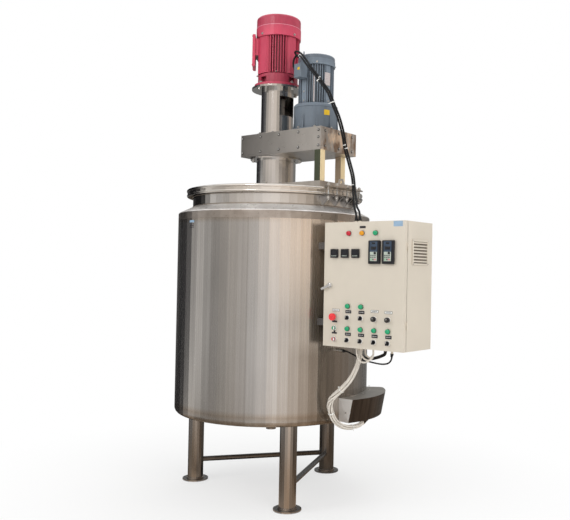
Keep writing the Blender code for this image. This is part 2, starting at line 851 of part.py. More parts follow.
def make_belt_box():
    t = BOX_GUARD_T
    outer = rectangle(BOX_X0, -BOX_HALF_Y, BOX_X1, BOX_HALF_Y)
    inner = rectangle(BOX_X0 + t, -BOX_HALF_Y + t, BOX_X1 - t, BOX_HALF_Y - t)
    cut_out("belt_box_guard", [outer, inner], BOX_LOW, BOX_HIGH, BRUSHED)
    t += CLEAR
    low = (BOX_X0 + t, -BOX_HALF_Y + t)
    high = (BOX_X1 - t, BOX_HALF_Y - t)
    block("belt_box_floor", (*low, BOX_LOW), (*high, BOX_LOW + BOX_PLATE_T), BRUSHED)
    block("belt_box_top", (*low, BOX_HIGH - BOX_PLATE_T), (*high, BOX_HIGH), BRUSHED)


def make_posts():
    wide = POST_W - POST_T
    outer = rectangle(0, 0, POST_W, POST_W)
    inner = rectangle(POST_T, POST_T, wide, wide)
    places = {
        "post_front": (BOX_X1 - POST_W, -BOX_HALF_Y, 0),
        "post_rear": (BOX_X1 - POST_REAR_INSET - POST_W, BOX_HALF_Y - POST_W, 0),
    }
    for name, at in places.items():
        cut_out(name, [outer, inner], BRIDGE_Z1 + CLEAR, BOX_LOW - CLEAR, BRUSHED, at=at)


def fin_row(root, tip, thickness, count, step, middle):
    """A row of straight fins round part of a motor, its middle one looking along an azimuth."""
    half = math.asin(thickness / 2 / tip)
    foot = math.asin(thickness / 2 / root) * FIN_DRAFT
    made = []
    for i in range(count):
        azimuth = middle + step * (i - (count - 1) / 2)
        for r, a in ((root, -foot), (tip, -half), (tip, half), (root, foot)):
            made.append(polar(r, azimuth + a))
    return made


def flat(seat, width, middle):
    """The two edges of a flat face at a distance from the axis, looking along an azimuth."""
    return [heading(middle) * seat + heading(middle + math.pi / 2) * width * s for s in (-0.5, 0.5)]


def frame_outline(pads, pad, fins, box_at, box):
    """A motor frame from above: four flat pads with fins between, one row giving way to a box."""
    points = []
    for i in range(4):
        turn = pads + math.pi / 2 * i
        points += flat(*pad, turn)
        if i == box_at:
            points += box
        else:
            points += fin_row(*fins, turn + math.pi / 4)
    return [(p.x, p.y) for p in points]


def outward_block(name, azimuth, near, far, width, low, high, skin, at=(0, 0, 0), bevel=0.0):
    """A box whose own X points outwards along an azimuth, from near to far."""
    half = width / 2
    made = block(name, (near, -half, low), (far, half, high), skin, at=at, bevel=bevel)
    made.rotation_euler = (0, 0, azimuth - math.pi / 2)
    return made


def cowl(name, radius, foot, skirt, side, dome, edge, skin, at=(0, 0, 0)):
    """A fan cowl: a lapped skirt, a straight side, a rounded edge and a low dome."""
    seam = foot + skirt
    brim = seam + side
    bend = arc(edge, math.pi / 2, 0.0, 3, (radius - edge, brim - edge))
    rise = dome - edge / 2
    top = [(0.0, brim + rise), (radius / 3, brim + rise * 0.88), (radius * 2 / 3, brim + rise * 0.5)]
    lap = radius + MAIN_COWL_LAP
    sides = [(radius, seam), (lap, seam - MAIN_COWL_LAP), (lap, foot), (0.0, foot)]
    return turned(name, top + bend + sides, skin, at=at, ring=False)


def make_main_motor():
    low = COLUMN_TOP + CLEAR
    flange = low + BELL_FLANGE_T
    top = MAIN_FRAME_Z0 - CLEAR
    bell = turned(
        "main_motor_endbell",
        [
            (0.0, top),
            (BELL_R - MOTOR_EDGE, top),
            (BELL_R, top - MOTOR_EDGE),
            (BELL_R, flange + MOTOR_EDGE),
            (BELL_R + MOTOR_EDGE, flange),
            (BELL_FLANGE_R, flange),
            (BELL_FLANGE_R, low),
            (0.0, low),
        ],
        RED,
        ring=False,
    )
    for i in range(4):
        azimuth = MAIN_PAD_ANGLE + math.pi / 2 * i
        near, sill = BELL_R - BELL_POCKET_IN, flange + MOTOR_EDGE
        pocket = outward_block(
            f"bell_pocket_{i}", azimuth, near, BELL_R * 2, BELL_POCKET_W, sill, sill + BELL_POCKET_H, None
        )
        cut(bell, pocket)
    outline = frame_outline(
        MAIN_PAD_ANGLE,
        (MAIN_PAD_SEAT, MAIN_PAD_W),
        (MAIN_ROOT_R, MAIN_FIN_R, MAIN_FIN_T, MAIN_FINS, MAIN_FIN_STEP),
        3,
        flat(MAIN_BOX_SEAT, MAIN_BOX_W, MAIN_BOX_ANGLE),
    )
    cut_out("main_motor_frame", [outline], MAIN_FRAME_Z0, MAIN_FRAME_Z1, RED)
    foot = MAIN_FRAME_Z1 + CLEAR
    edges = (MAIN_COWL_SKIRT, MAIN_COWL_SIDE, MAIN_COWL_DOME, MAIN_COWL_ROUND)
    cowl("main_motor_cowl", MAIN_COWL_R, foot, *edges, RED)
    low = MAIN_FRAME_Z0 + MAIN_BOX_RISE
    near, reach = MAIN_BOX_SEAT + CLEAR, MAIN_BOX_REACH + MAIN_LID_T
    box = outward_block(
        "main_motor_box",
        MAIN_BOX_ANGLE,
        near,
        MAIN_BOX_REACH + MAIN_LID_T / 2,
        MAIN_BOX_W,
        low,
        low + MAIN_BOX_H,
        RED,
    )
    low = MAIN_FRAME_Z0 + MAIN_LID_RISE
    lid = outward_block(
        "main_motor_lid",
        MAIN_BOX_ANGLE,
        MAIN_BOX_REACH,
        reach,
        MAIN_LID_W,
        low,
        low + MAIN_LID_H,
        None,
        bevel=MAIN_LID_ROUND,
    )
    gland = rod(
        "main_motor_gland",
        CABLE_R * GLAND_SHARE,
        0.0,
        MAIN_BOX_W / 2 + GLAND_L,
        None,
        at=main_gland_foot(),
        sides=TINY_SIDES,
        along="X",
    )
    gland.rotation_euler = (0, 0, MAIN_BOX_ANGLE - math.pi)
    join(box, lid, gland)


def main_gland_foot():
    """The middle of the main motor's box at the height of its cable gland."""
    radius = MAIN_BOX_SEAT + CABLE_R * GLAND_SHARE + MAIN_GLAND_LIFT
    return polar(radius, MAIN_BOX_ANGLE, MAIN_FRAME_Z0 + MAIN_GLAND_RISE)


def make_gear_motor():
    at = (GEAR_X, 0, 0)
    low = BOX_HIGH + CLEAR
    seam = GEAR_TOP - GEAR_SEAM_DROP
    housing = turned(
        "gear_housing",
        [
            (0.0, GEAR_TOP),
            (GEAR_R - GEAR_EDGE, GEAR_TOP),
            (GEAR_R, GEAR_TOP - GEAR_EDGE),
            (GEAR_R, seam + GEAR_SEAM),
            (GEAR_R - GEAR_SEAM, seam),
            (GEAR_R, seam - GEAR_SEAM),
            (GEAR_R, low + GEAR_FLANGE_T),
            (GEAR_FLANGE_R, low + GEAR_FLANGE_T),
            (GEAR_FLANGE_R, low),
            (0.0, low),
        ],
        GREY,
        at=at,
        ring=False,
    )
    foot = low + GEAR_FLANGE_T / 2
    rib_outline = [
        (GEAR_R / 2, foot),
        (GEAR_FLANGE_R - GEAR_SEAM, foot),
        (GEAR_R + GEAR_SEAM, foot + GEAR_RIB_H),
        (GEAR_R / 2, foot + GEAR_RIB_H),
    ]
    for i in range(GEAR_RIBS):
        rib = cut_out(f"gear_rib_{i}", [rib_outline], -GEAR_RIB_T / 2, GEAR_RIB_T / 2, None, at=at)
        turn = GEAR_RIB_ANGLE + 2 * math.pi * i / GEAR_RIBS
        rib.rotation_euler = (math.pi / 2, 0, turn - math.pi / 2)
        join(housing, rib)
    outline = frame_outline(
        SIDE_BOX_ANGLE,
        (SIDE_PAD_SEAT, SIDE_PAD_W),
        (SIDE_ROOT_R, SIDE_FIN_R, SIDE_FIN_T, SIDE_FINS, SIDE_FIN_STEP),
        None,
        None,
    )
    cut_out("gear_motor_frame", [outline], GEAR_TOP + CLEAR, SIDE_FRAME_Z1, GREY, at=at)
    foot = SIDE_FRAME_Z1 + CLEAR
    edges = (SIDE_COWL_SKIRT, SIDE_COWL_SIDE, SIDE_COWL_DOME, SIDE_COWL_ROUND)
    cowl("gear_motor_cowl", SIDE_COWL_R, foot, *edges, GREY, at=at)
    low = GEAR_TOP + SIDE_BOX_RISE
    box = outward_block(
        "gear_motor_box",
        SIDE_BOX_ANGLE,
        SIDE_BOX_SEAT + CLEAR,
        SIDE_BOX_REACH,
        SIDE_BOX_W,
        low,
        low + SIDE_BOX_H,
        GREY,
        at,
        SIDE_BOX_ROUND,
    )
    gland = rod(
        "gear_motor_gland",
        CABLE_R * GLAND_SHARE,
        -GLAND_L,
        SIDE_GLAND_OUT,
        None,
        at=side_gland_mouth() - side_gland_way() * SIDE_GLAND_OUT,
        sides=TINY_SIDES,
    )
    gland.rotation_euler = (0, -SIDE_GLAND_TILT, SIDE_BOX_ANGLE)
    join(box, gland)


def side_gland_way():
    """The way the gear motor's cable leaves its box: sideways and up."""
    across = heading(SIDE_BOX_ANGLE + math.pi / 2)
    return Vector((0, 0, math.cos(SIDE_GLAND_TILT))) - across * math.sin(SIDE_GLAND_TILT)


def side_gland_mouth():
    """The outer end of the gear motor's gland, on the left side of its box."""
    middle = (SIDE_BOX_SEAT + SIDE_BOX_REACH) / 2
    face = polar(middle, SIDE_BOX_ANGLE, GEAR_TOP + SIDE_GLAND_RISE) + Vector((GEAR_X, 0, 0))
    face -= heading(SIDE_BOX_ANGLE + math.pi / 2) * SIDE_BOX_W / 2
    return face + side_gland_way() * SIDE_GLAND_OUT


def heater_outline(inset):
    """The heater cover from above, in its own frame with X outwards, stepped in by inset.

    Its front is a bowed sheet with a sharp fold at the near end and a round one at the far end."""
    radius = HEATER_BOW_R - inset
    corner = HEATER_CORNER - inset
    middle = HEATER_R - HEATER_BOW_R
    fold = math.asin((HEATER_HALF - inset) / radius)
    turn = fold - math.asin(corner / (radius - corner))
    centre = (middle + (radius - corner) * math.cos(turn), (radius - corner) * math.sin(turn))
    bend = arc(corner, turn, math.pi / 2 + HEATER_FLARE, 5, centre)
    front = arc(radius, -fold, turn, 14, (middle, 0))[:-1]
    back = JACKET_R - HEATER_BACK
    slope = math.tan(HEATER_FLARE)
    ends = [(back, y - math.copysign(x - back, y) * slope) for x, y in (front[0], bend[-1])]
    return [ends[0], *front, *bend, ends[1]]


def lean_in(piece, level):
    """Slopes a cover's outer walls inwards, down to their foot below a level."""
    for vertex in piece.data.vertices:
        if vertex.co.z < level and vertex.co.x > JACKET_R:
            vertex.co.x -= HEATER_LEAN


def heater_gland_foot():
    return Vector((JACKET_R + HEATER_GLAND_OUT, HEATER_GLAND_Y, HEATER_Z0))


def heater_gland_way():
    """The way the cables leave the heater cover's floor: towards the cabinet's front and down."""
    return Vector((0, -math.sin(HEATER_GLAND_TILT), -math.cos(HEATER_GLAND_TILT)))


def make_heater_cover():
    cover = cut_out("heater_cover", [heater_outline(0.0)], HEATER_Z0, HEATER_Z1, BRUSHED)
    t = HEATER_T
    hollow = cut_out("heater_hollow", [heater_outline(t)], HEATER_Z0 + t, HEATER_Z1 - t, None)
    for piece in (cover, hollow):
        lean_in(piece, (HEATER_Z0 + HEATER_Z1) / 2)
        piece.rotation_euler = (0, 0, HEATER_ANGLE)
    gland = rod(
        "heater_gland",
        LOOM_R * LOOM_GLAND_SHARE,
        -HEATER_GLAND_L,
        HEATER_GLAND_IN,
        None,
        at=heater_gland_foot(),
        sides=TINY_SIDES,
    )
    gland.rotation_euler = (-HEATER_GLAND_TILT, 0, 0)
    cut(cover, hollow)
    round_cut(cover, "heater_back", JACKET_R + CLEAR, HEATER_Z0, HEATER_Z1)
    join(cover, gland)


def make_cabinet():
    t = CAB_T
    body = block(
        "cabinet_body", (CAB_X0, CAB_BODY_FRONT, CAB_Z0), (CAB_X1, CAB_BACK, CAB_Z1), BEIGE
    )
    inside = block(
        "cabinet_inside",
        (CAB_X0 + t, CAB_BODY_FRONT - t, CAB_Z0 + t),
        (CAB_X1 - t, CAB_BACK - t, CAB_Z1 - t),
        None,
    )
    cut(body, inside)
    for i, z in enumerate(hinge_heights()):
        make_hinge_half(body, f"body_hinge_{i}", z)
    for i in range(2):
        gland = rod(
            f"top_gland_{i}",
            CABLE_R * GLAND_SHARE,
            -t / 2,
            GLAND_L,
            None,
            at=top_gland_foot(i),
            sides=TINY_SIDES,
        )
        join(body, gland)
    for name, foot, r in (
        ("loom_gland", loom_gland_foot(), LOOM_R * LOOM_GLAND_SHARE),
        ("probe_gland", probe_gland_foot(), PROBE_CABLE_R * GLAND_SHARE),
    ):
        join(body, rod(name, r, -GLAND_L, t / 2, None, at=foot, sides=TINY_SIDES))
    for i, z in enumerate((CAB_Z0 + BRACKET_RISE, CAB_Z1 - BRACKET_RISE)):
        name = ("cabinet_bracket_lower", "cabinet_bracket_upper")[i]
        make_bracket(name, z)
    make_louvre()


def top_gland_foot(index):
    x = CAB_X0 + TOP_GLAND_IN + TOP_GLAND_STEP * index
    return Vector((x, CAB_BACK - TOP_GLAND_FROM_BACK, CAB_Z1))


def loom_gland_foot():
    return Vector((CAB_X0 + LOOM_IN, CAB_FRONT + LOOM_FROM_FRONT, CAB_Z0))


def probe_gland_foot():
    return Vector((CAB_X0 + PROBE_IN, CAB_FRONT + PROBE_FROM_FRONT, CAB_Z0))


def hinge_heights():
    return (CAB_Z0 + HINGE_RISE, CAB_Z1 - HINGE_RISE)


def make_hinge_half(body, name, z):
    """The fixed knuckle with its pin, on a leaf from the cabinet's side wall."""
    at = (HINGE_X, HINGE_Y, z)
    knuckle = rod(name, HINGE_R, -HINGE_H, 0.0, None, at=at, sides=TINY_SIDES)
    pin = rod(name + "_pin", HINGE_PIN_R, -HINGE_H / 2, HINGE_H, None, at=at, sides=TINY_SIDES)
    leaf = block(
        name + "_leaf",
        (CAB_X1 - HINGE_X - CAB_T / 2, 0.0, -HINGE_H + HINGE_STEP),
        (0.0, HINGE_R - HINGE_STEP, -HINGE_STEP),
        None,
        at=at,
    )
    join(body, knuckle, pin, leaf)


def make_bracket(name, z):
    """A welded bracket from the jacket's round side to the cabinet's left side."""
    front = CAB_FRONT + BRACKET_INSET
    low = (JACKET_R / 2, front, z - BRACKET_H / 2)
    high = (CAB_X0 - CLEAR, front + BRACKET_W, z + BRACKET_H / 2)
    bracket = block(name, low, high, BRUSHED)
    round_cut(bracket, name + "_tank", JACKET_R + CLEAR, low[2], high[2])


def make_louvre():
    x0 = CAB_X1 + CLEAR
    y1 = CAB_BACK - LOUVRE_FROM_BACK
    y0 = y1 - LOUVRE_W
    z1 = CAB_Z1 - LOUVRE_FROM_TOP
    z0 = z1 - LOUVRE_H
    plate = block("side_louvre", (x0, y0, z0), (x0 + LOUVRE_T, y1, z1), BEIGE)
    pitch = (LOUVRE_H - 2 * LOUVRE_BORDER) / LOUVRE_SLOTS
    for i in range(LOUVRE_SLOTS):
        z = z0 + LOUVRE_BORDER + pitch * (i + 0.5)
        low = (x0 - LOUVRE_T, y0 + LOUVRE_BORDER, z - LOUVRE_SLOT_H / 2)
        high = (x0 + LOUVRE_T * 2, y1 - LOUVRE_BORDER, z + LOUVRE_SLOT_H / 2)
        cut(plate, block(f"louvre_slot_{i}", low, high, None))


def door_point(x, z, out=0.0):
    """A place on the door's face in the door's own frame, which starts at the hinge axis."""
    return Vector((CAB_X0 + x - HINGE_X, CAB_FRONT - out - HINGE_Y, CAB_Z0 + z))


def make_door():
    x0, x1 = CAB_X0 - HINGE_X, CAB_X1 - HINGE_X
    y0, y1 = CAB_FRONT - HINGE_Y, DOOR_BACK - HINGE_Y
    at = (HINGE_X, HINGE_Y, 0)
    door = block("cabinet_door", (x0, y0, CAB_Z0), (x1, y1, CAB_Z1), BEIGE, at=at)
    s = DOOR_SKIN
    pan = block(
        "door_pan", (x0 + s, y0 + s, CAB_Z0 + s), (x1 - s, y1 + s, CAB_Z1 - s), None, at=at
    )
    cut(door, pan)
    for i, z in enumerate(hinge_heights()):
        low = z + CLEAR
        knuckle = rod(f"door_hinge_{i}", HINGE_R, low, low + HINGE_H, None, at=at, sides=TINY_SIDES)
        strap = block(
            f"door_strap_{i}",
            (x1 - s / 2, HINGE_STEP / 2 - HINGE_R, low + HINGE_STEP),
            (0.0, -HINGE_STEP / 2, low + HINGE_H - HINGE_STEP),
            None,
            at=at,
        )
        join(door, knuckle, strap)
        bore = HINGE_PIN_R + CLEAR
        cut(
            door,
            rod(f"door_bore_{i}", bore, z - HINGE_H, z + HINGE_H * 2, None, at, None, TINY_SIDES),
        )
    join(door, *door_lamps(at), *door_meters(at), *door_bezels(at))
    holes = [f"{name}_hole" for name in control_places()]
    for hole, (x, z) in zip(holes, control_places().values()):
        centre = Vector(at) + door_point(x, z)
        bore = STEM_R + CLEAR
        cut(door, rod(hole, bore, -DOOR_T, DOOR_T, None, centre, None, BORE_SIDES, "Y"))
    return door


def control_places():
    """Each moving control's name and place on the door."""
    places = {
        "emergency_stop": (STOP_X, ROWS_Z[2]),
        "start_button": (BUTTONS_X, ROWS_Z[1]),
        "stop_button": (BUTTONS_X, ROWS_Z[0]),
        "speed_knob_left": (COLUMNS_X[2], ROWS_Z[2]),
        "speed_knob_right": (COLUMNS_X[3], ROWS_Z[2]),
        "selector_upper_left": (COLUMNS_X[0], ROWS_Z[2]),
        "selector_upper_right": (COLUMNS_X[1], ROWS_Z[2]),
        "door_latch": (LATCH_X, LATCH_Z),
    }
    for i, x in enumerate(COLUMNS_X):
        places[f"selector_lower_{i + 1}"] = (x, ROWS_Z[0])
    return places


def lamp_places():
    top = [(x, LAMP_ROW_Z) for x in (COLUMNS_X[0], COLUMNS_X[1], COLUMNS_X[2])]
    middle = [(x, ROWS_Z[3]) for x in COLUMNS_X[:2]]
    low = [(x, ROWS_Z[1]) for x in COLUMNS_X]
    return top + middle + low


def door_lamps(at):
    made = []
    for i, (x, z) in enumerate(lamp_places()):
        centre = Vector(at) + door_point(x, z)
        lamp = rod(
            f"lamp_{i}", LAMP_R, -LAMP_H, DOOR_SKIN / 2, None, at=centre, sides=TINY_SIDES, along="Y"
        )
        made.append(lamp)
    return made


def door_meters(at):
    made = []
    half = METER_W / 2
    for i, x in enumerate(METERS_X):
        centre = Vector(at) + door_point(x, METER_Z)
        low, high = (-half, -METER_H, -half), (half, DOOR_SKIN / 2, half)
        made.append(block(f"meter_{i}", low, high, None, at=centre))
    return made


def door_bezels(at):
    made = []
    for name, (x, z) in control_places().items():
        if name == "door_latch":
            continue
        centre = Vector(at) + door_point(x, z)
        ring = rod(
            f"{name}_bezel", BEZEL_R, -BEZEL_H, DOOR_SKIN / 2, None, centre, None, TINY_SIDES, "Y"
        )
        made.append(ring)
    return made


def stem(name, out, at, parent):
    return rod(name + "_stem", STEM_R, -out, STEM_IN, None, at, parent, TINY_SIDES, "Y")


def make_controls(door):
    """The controls that move: each has its own Y pointing into the door along its axis."""
    places = control_places()
    for name, (x, z) in places.items():
        at = door_point(x, z)
        if name == "emergency_stop":
            start = BEZEL_H + STOP_STEM
            end = start + STOP_HEAD_H
            piece = rod(name, STOP_HEAD_R, -end, -start, SIGNAL_RED, at, door, SMALL_SIDES, "Y")
            join(piece, stem(name, start + STOP_HEAD_H / 2, at, door))
        elif name.endswith("button"):
            skin = SIGNAL_GREEN if name == "start_button" else SIGNAL_RED
            start = BEZEL_H + RUN_GAP
            piece = rod(name, BUTTON_R, -start - BUTTON_H, -start, skin, at, door, TINY_SIDES, "Y")
            join(piece, stem(name, start + BUTTON_H / 2, at, door))
        elif name == "door_latch":
            make_latch(door, at)
        elif name.startswith("speed"):
            start = BEZEL_H + CLEAR
            piece = rod(name, KNOB_R, -start - KNOB_H, -start, BLACK, at, door, TINY_SIDES, "Y")
            join(piece, stem(name, start + KNOB_H / 2, at, door))
        else:
            make_selector(name, door, at)


def make_selector(name, door, at):
    start = BEZEL_H + CLEAR
    piece = rod(name, SELECTOR_R, -start - SELECTOR_H, -start, BLACK, at, door, TINY_SIDES, "Y")
    half = SELECTOR_GRIP_W / 2
    grip = block(
        name + "_grip",
        (-half, -start - SELECTOR_H - SELECTOR_GRIP, -SELECTOR_R * 0.9),
        (half, -start - SELECTOR_H / 2, SELECTOR_R * 0.9),
        None,
        at,
        door,
    )
    join(piece, grip, stem(name, start + SELECTOR_H / 2, at, door))


def make_latch(door, at):
    latch = rod(
        "door_latch", LATCH_R, -LATCH_H - CLEAR, -CLEAR, ZINC, at, door, SMALL_SIDES, "Y"
    )
    half = LATCH_W / 2
    lever = block(
        "latch_lever",
        (-LATCH_LENGTH, -LATCH_H - LATCH_T, -half),
        (LATCH_R / 2, -LATCH_H / 2, half),
        None,
        at,
        door,
        bevel=LATCH_ROUND,
    )
    lever.rotation_euler = (0, -LATCH_DROOP, 0)
    join(latch, lever, stem("door_latch", LATCH_H * 2 / 3, at, door))


def make_keypads(door):
    half = KEYPAD_W / 2
    for name, x in zip(("keypad_left", "keypad_right"), KEYPADS_X):
        at = door_point(x, KEYPAD_Z)
        block(
            name,
            (-half, -KEYPAD_T - CLEAR, -KEYPAD_H / 2),
            (half, -CLEAR, KEYPAD_H / 2),
            BLACK,
            at,
            door,
            bevel=KEYPAD_EDGE,
        )


def smooth_route(points, spacing):
    """Points about a spacing apart on one smooth curve through the route's own points."""
    ends = [points[0] * 2 - points[1], *points, points[-1] * 2 - points[-2]]
    made = []
    for before, a, b, after in zip(ends, ends[1:], ends[2:], ends[3:]):
        steps = max(1, round((b - a).length / spacing))
        for i in range(steps):
            t = i / steps
            made.append(
                0.5
                * (
                    2 * a
                    + (b - before) * t
                    + (2 * before - 5 * a + 4 * b - after) * t**2
                    + (3 * a - before - 3 * b + after) * t**3
                )
            )
    return made + [points[-1]]


def pair_route(side):
    """Where the two motor cables run tied together, one on each side of a middle line."""
    step = Vector(PAIR_STEP) * side
    gear = Vector((GEAR_X, 0, GEAR_TOP)) + step
    box = Vector((BOX_X1, 0, BOX_HIGH)) + step
    lug = Vector((LUG_R, 0, RIM_TOP)) + step
    cabinet = Vector((CAB_X0, CAB_BACK, CAB_Z1)) + step
    return [
        gear + Vector((0.082, -0.182, 0.212)),
        gear + Vector((0.135, -0.178, 0.152)),
        gear + Vector((0.187, -0.166, 0.085)),
        gear + Vector((0.222, -0.148, 0.028)),
        box + Vector((0.055, -0.125, 0.124)),
        box + Vector((0.068, -0.090, 0.052)),
        box + Vector((0.066, -0.045, -0.030)),
        box + Vector((0.060, -0.008, -0.115)),
        lug + Vector((-0.004, 0.012, 0.145)),
        lug + Vector((0.010, 0.020, 0.085)),
        lug + Vector((0.020, 0.019, 0.031)),
        lug + Vector((0.029, 0.010, -0.012)),
        cabinet + Vector((-0.003, 0.006, 0.172)),
        cabinet + Vector((0.015, -0.014, 0.137)),
        cabinet + Vector((0.040, -0.041, 0.104)),
    ]


def gland_end(index):
    """The last points of a cable that bends down into a gland on the cabinet."""
    end = top_gland_foot(index) + Vector((0, 0, GLAND_L + CLEAR))
    bend = [(-0.0155, 0.0110, 0.058), (-0.0040, 0.0028, 0.032), (0, 0, 0.010)]
    return [end + Vector(p) for p in bend] + [end]


def gear_cable_route():
    """From the gear motor's box, over in a loop and down beside the drive to the cabinet's top."""
    start = side_gland_mouth() + side_gland_way() * CLEAR
    across = heading(SIDE_BOX_ANGLE + math.pi / 2)
    loop = [
        start + across * x + Vector((0, y, z))
        for x, y, z in (
            (-0.0099, 0.000, 0.0099),
            (-0.0206, -0.002, 0.0267),
            (-0.0232, -0.005, 0.0464),
            (-0.0172, -0.009, 0.0654),
            (-0.0038, -0.014, 0.0801),
            (0.0146, -0.020, 0.0877),
            (0.0350, -0.026, 0.0868),
            (0.0580, -0.034, 0.0780),
            (0.0910, -0.044, 0.0550),
        )
    ]
    return [start, *loop, *pair_route(-1), *gland_end(0)]


def main_cable_route():
    """From the main motor's box, round behind the motor, then beside the gear motor's cable."""
    foot = main_gland_foot()
    across = heading(MAIN_BOX_ANGLE + math.pi / 2)
    start = foot - across * (MAIN_BOX_W / 2 + GLAND_L + CLEAR)
    motor = Vector((0, 0, MAIN_FRAME_Z0))
    behind = [
        motor + Vector(p)
        for p in (
            (-0.1965, 0.018, 0.141),
            (-0.2050, 0.055, 0.134),
            (-0.1960, 0.095, 0.126),
            (-0.1680, 0.132, 0.116),
            (-0.100, 0.168, 0.098),
            (-0.005, 0.188, 0.082),
            (0.090, 0.168, 0.076),
            (0.155, 0.110, 0.078),
            (0.186, 0.030, 0.086),
            (0.205, -0.050, 0.094),
            (0.242, -0.114, 0.096),
            (0.298, -0.152, 0.083),
            (0.352, -0.167, 0.047),
        )
    ]
    return [start, start - across * 0.028, *behind, *pair_route(1), *gland_end(1)]


def loom_route():
    """From under the cabinet, down beside the jacket and up into the heater cover."""
    start = loom_gland_foot() - Vector((0, 0, GLAND_L + CLEAR))
    foot = heater_gland_foot()
    end = foot + heater_gland_way() * (HEATER_GLAND_L + CLEAR)
    down = [
        start + Vector(p)
        for p in (
            (0.000, 0.000, -0.014),
            (-0.003, -0.002, -0.044),
            (-0.015, -0.009, -0.092),
            (-0.047, -0.020, -0.163),
            (-0.098, -0.030, -0.223),
        )
    ]
    up = [
        foot + Vector(p)
        for p in (
            (-0.016, -0.310, 0.164),
            (-0.037, -0.305, 0.125),
            (-0.042, -0.292, 0.082),
            (-0.037, -0.275, 0.042),
            (-0.027, -0.250, 0.010),
            (-0.016, -0.218, -0.011),
            (-0.008, -0.180, -0.024),
            (-0.003, -0.140, -0.030),
            (-0.001, -0.100, -0.031),
            (0.000, -0.070, -0.0285),
        )
    ]
    return [start, *down, *up, end + heater_gland_way() * 0.014, end]


def probe_height():
    return CAB_Z0 - PROBE_DROP


def probe_route():
    """From under the cabinet to the temperature probe on the jacket."""
    start = probe_gland_foot() - Vector((0, 0, GLAND_L + CLEAR))
    out = Vector((math.cos(PROBE_ANGLE), math.sin(PROBE_ANGLE), 0))
    end = out * (JACKET_R + GLAND_L * 2 + CLEAR) + Vector((0, 0, probe_height()))
    bend = [
        start + Vector(p)
        for p in (
            (0.000, 0.000, -0.014),
            (-0.006, 0.000, -0.036),
            (-0.021, 0.001, -0.052),
            (-0.044, 0.004, -0.060),
            (-0.085, 0.010, -0.064),
        )
    ]
    sag = [
        end + Vector(p)
        for p in (
            (0.235, -0.065, -0.038),
            (0.160, -0.040, -0.031),
            (0.090, -0.019, -0.014),
        )
    ]
    return [start, *bend, *sag, end + out * 0.030, end]


def make_cables():
    tube("gear_motor_cable", smooth_route(gear_cable_route(), 0.030), CABLE_R, BLACK)
    tube("main_motor_cable", smooth_route(main_cable_route(), 0.032), CABLE_R, BLACK)
    tube("heater_loom", smooth_route(loom_route(), 0.030), LOOM_R, PALE_CABLE)
    tube("probe_cable", smooth_route(probe_route(), 0.020), PROBE_CABLE_R, BLACK)
    z = probe_height()
    out = (math.cos(PROBE_ANGLE) * JACKET_R, math.sin(PROBE_ANGLE) * JACKET_R, z)
    probe = rod(
        "probe_boss", PROBE_BOSS_R, -GLAND_L, GLAND_L * 2, ZINC, at=out, sides=TINY_SIDES, along="X"
    )
    probe.rotation_euler = (0, 0, PROBE_ANGLE)
    round_cut(probe, "probe_wall", JACKET_R + CLEAR, z, z)


def build():
    make_vessel()
    make_jacket()
    make_drain()
    make_legs()
    make_tie("tie_left_rear", "leg_left", "leg_rear")
    make_tie("tie_front_rear", "leg_front", "leg_rear")
    make_bridge()
    make_columns()
    make_belt_box()
    make_posts()
    make_main_motor()
    make_gear_motor()
    make_heater_cover()
    make_cabinet()
    door = make_door()
    make_controls(door)
    make_keypads(door)
    make_cables()


build()
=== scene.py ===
"""The looks of a jacketed mixing tank: finishes, welds, fasteners, cables and small fittings.

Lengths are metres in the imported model's frame. Places are given from the tank's own axis on the
floor, as the model's source gives them, and site() moves them into that frame. Azimuths are
degrees from the side that the cabinet's door faces, towards the cabinet.
"""

import math

import bmesh
import bpy
from mathutils import Matrix, Vector


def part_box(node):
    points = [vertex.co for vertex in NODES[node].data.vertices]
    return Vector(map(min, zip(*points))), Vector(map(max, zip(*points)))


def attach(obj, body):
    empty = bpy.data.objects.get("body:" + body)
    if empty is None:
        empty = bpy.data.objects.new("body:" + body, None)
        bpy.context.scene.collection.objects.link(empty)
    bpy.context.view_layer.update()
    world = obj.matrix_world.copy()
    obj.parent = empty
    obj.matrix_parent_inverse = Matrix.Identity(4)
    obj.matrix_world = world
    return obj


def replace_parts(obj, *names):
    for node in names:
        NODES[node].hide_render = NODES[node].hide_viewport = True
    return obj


bl_info = {
    "name": "Mixing tank looks",
    "version": (1, 0, 0),
    "blender": (4, 5, 0),
    "location": "View3D > Sidebar > Mixing tank",
    "description": "Finishes, fasteners, cables and small fittings of a jacketed mixing tank",
    "category": "Object",
}

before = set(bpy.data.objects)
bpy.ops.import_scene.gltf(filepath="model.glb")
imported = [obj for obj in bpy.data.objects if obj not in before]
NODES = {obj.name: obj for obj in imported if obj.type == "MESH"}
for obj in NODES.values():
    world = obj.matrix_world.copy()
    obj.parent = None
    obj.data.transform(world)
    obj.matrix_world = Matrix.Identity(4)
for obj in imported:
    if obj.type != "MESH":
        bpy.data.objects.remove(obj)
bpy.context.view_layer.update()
PLANT, DOOR = "plant", "door"
UP, DOWN = Vector((0, 0, 1)), Vector((0, 0, -1))
FRONT, BACK = Vector((0, -1, 0)), Vector((0, 1, 0))
RIGHT, LEFT = Vector((1, 0, 0)), Vector((-1, 0, 0))


def low(node):
    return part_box(node)[0]


def high(node):
    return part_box(node)[1]


def middle(node):
    return (low(node) + high(node)) / 2


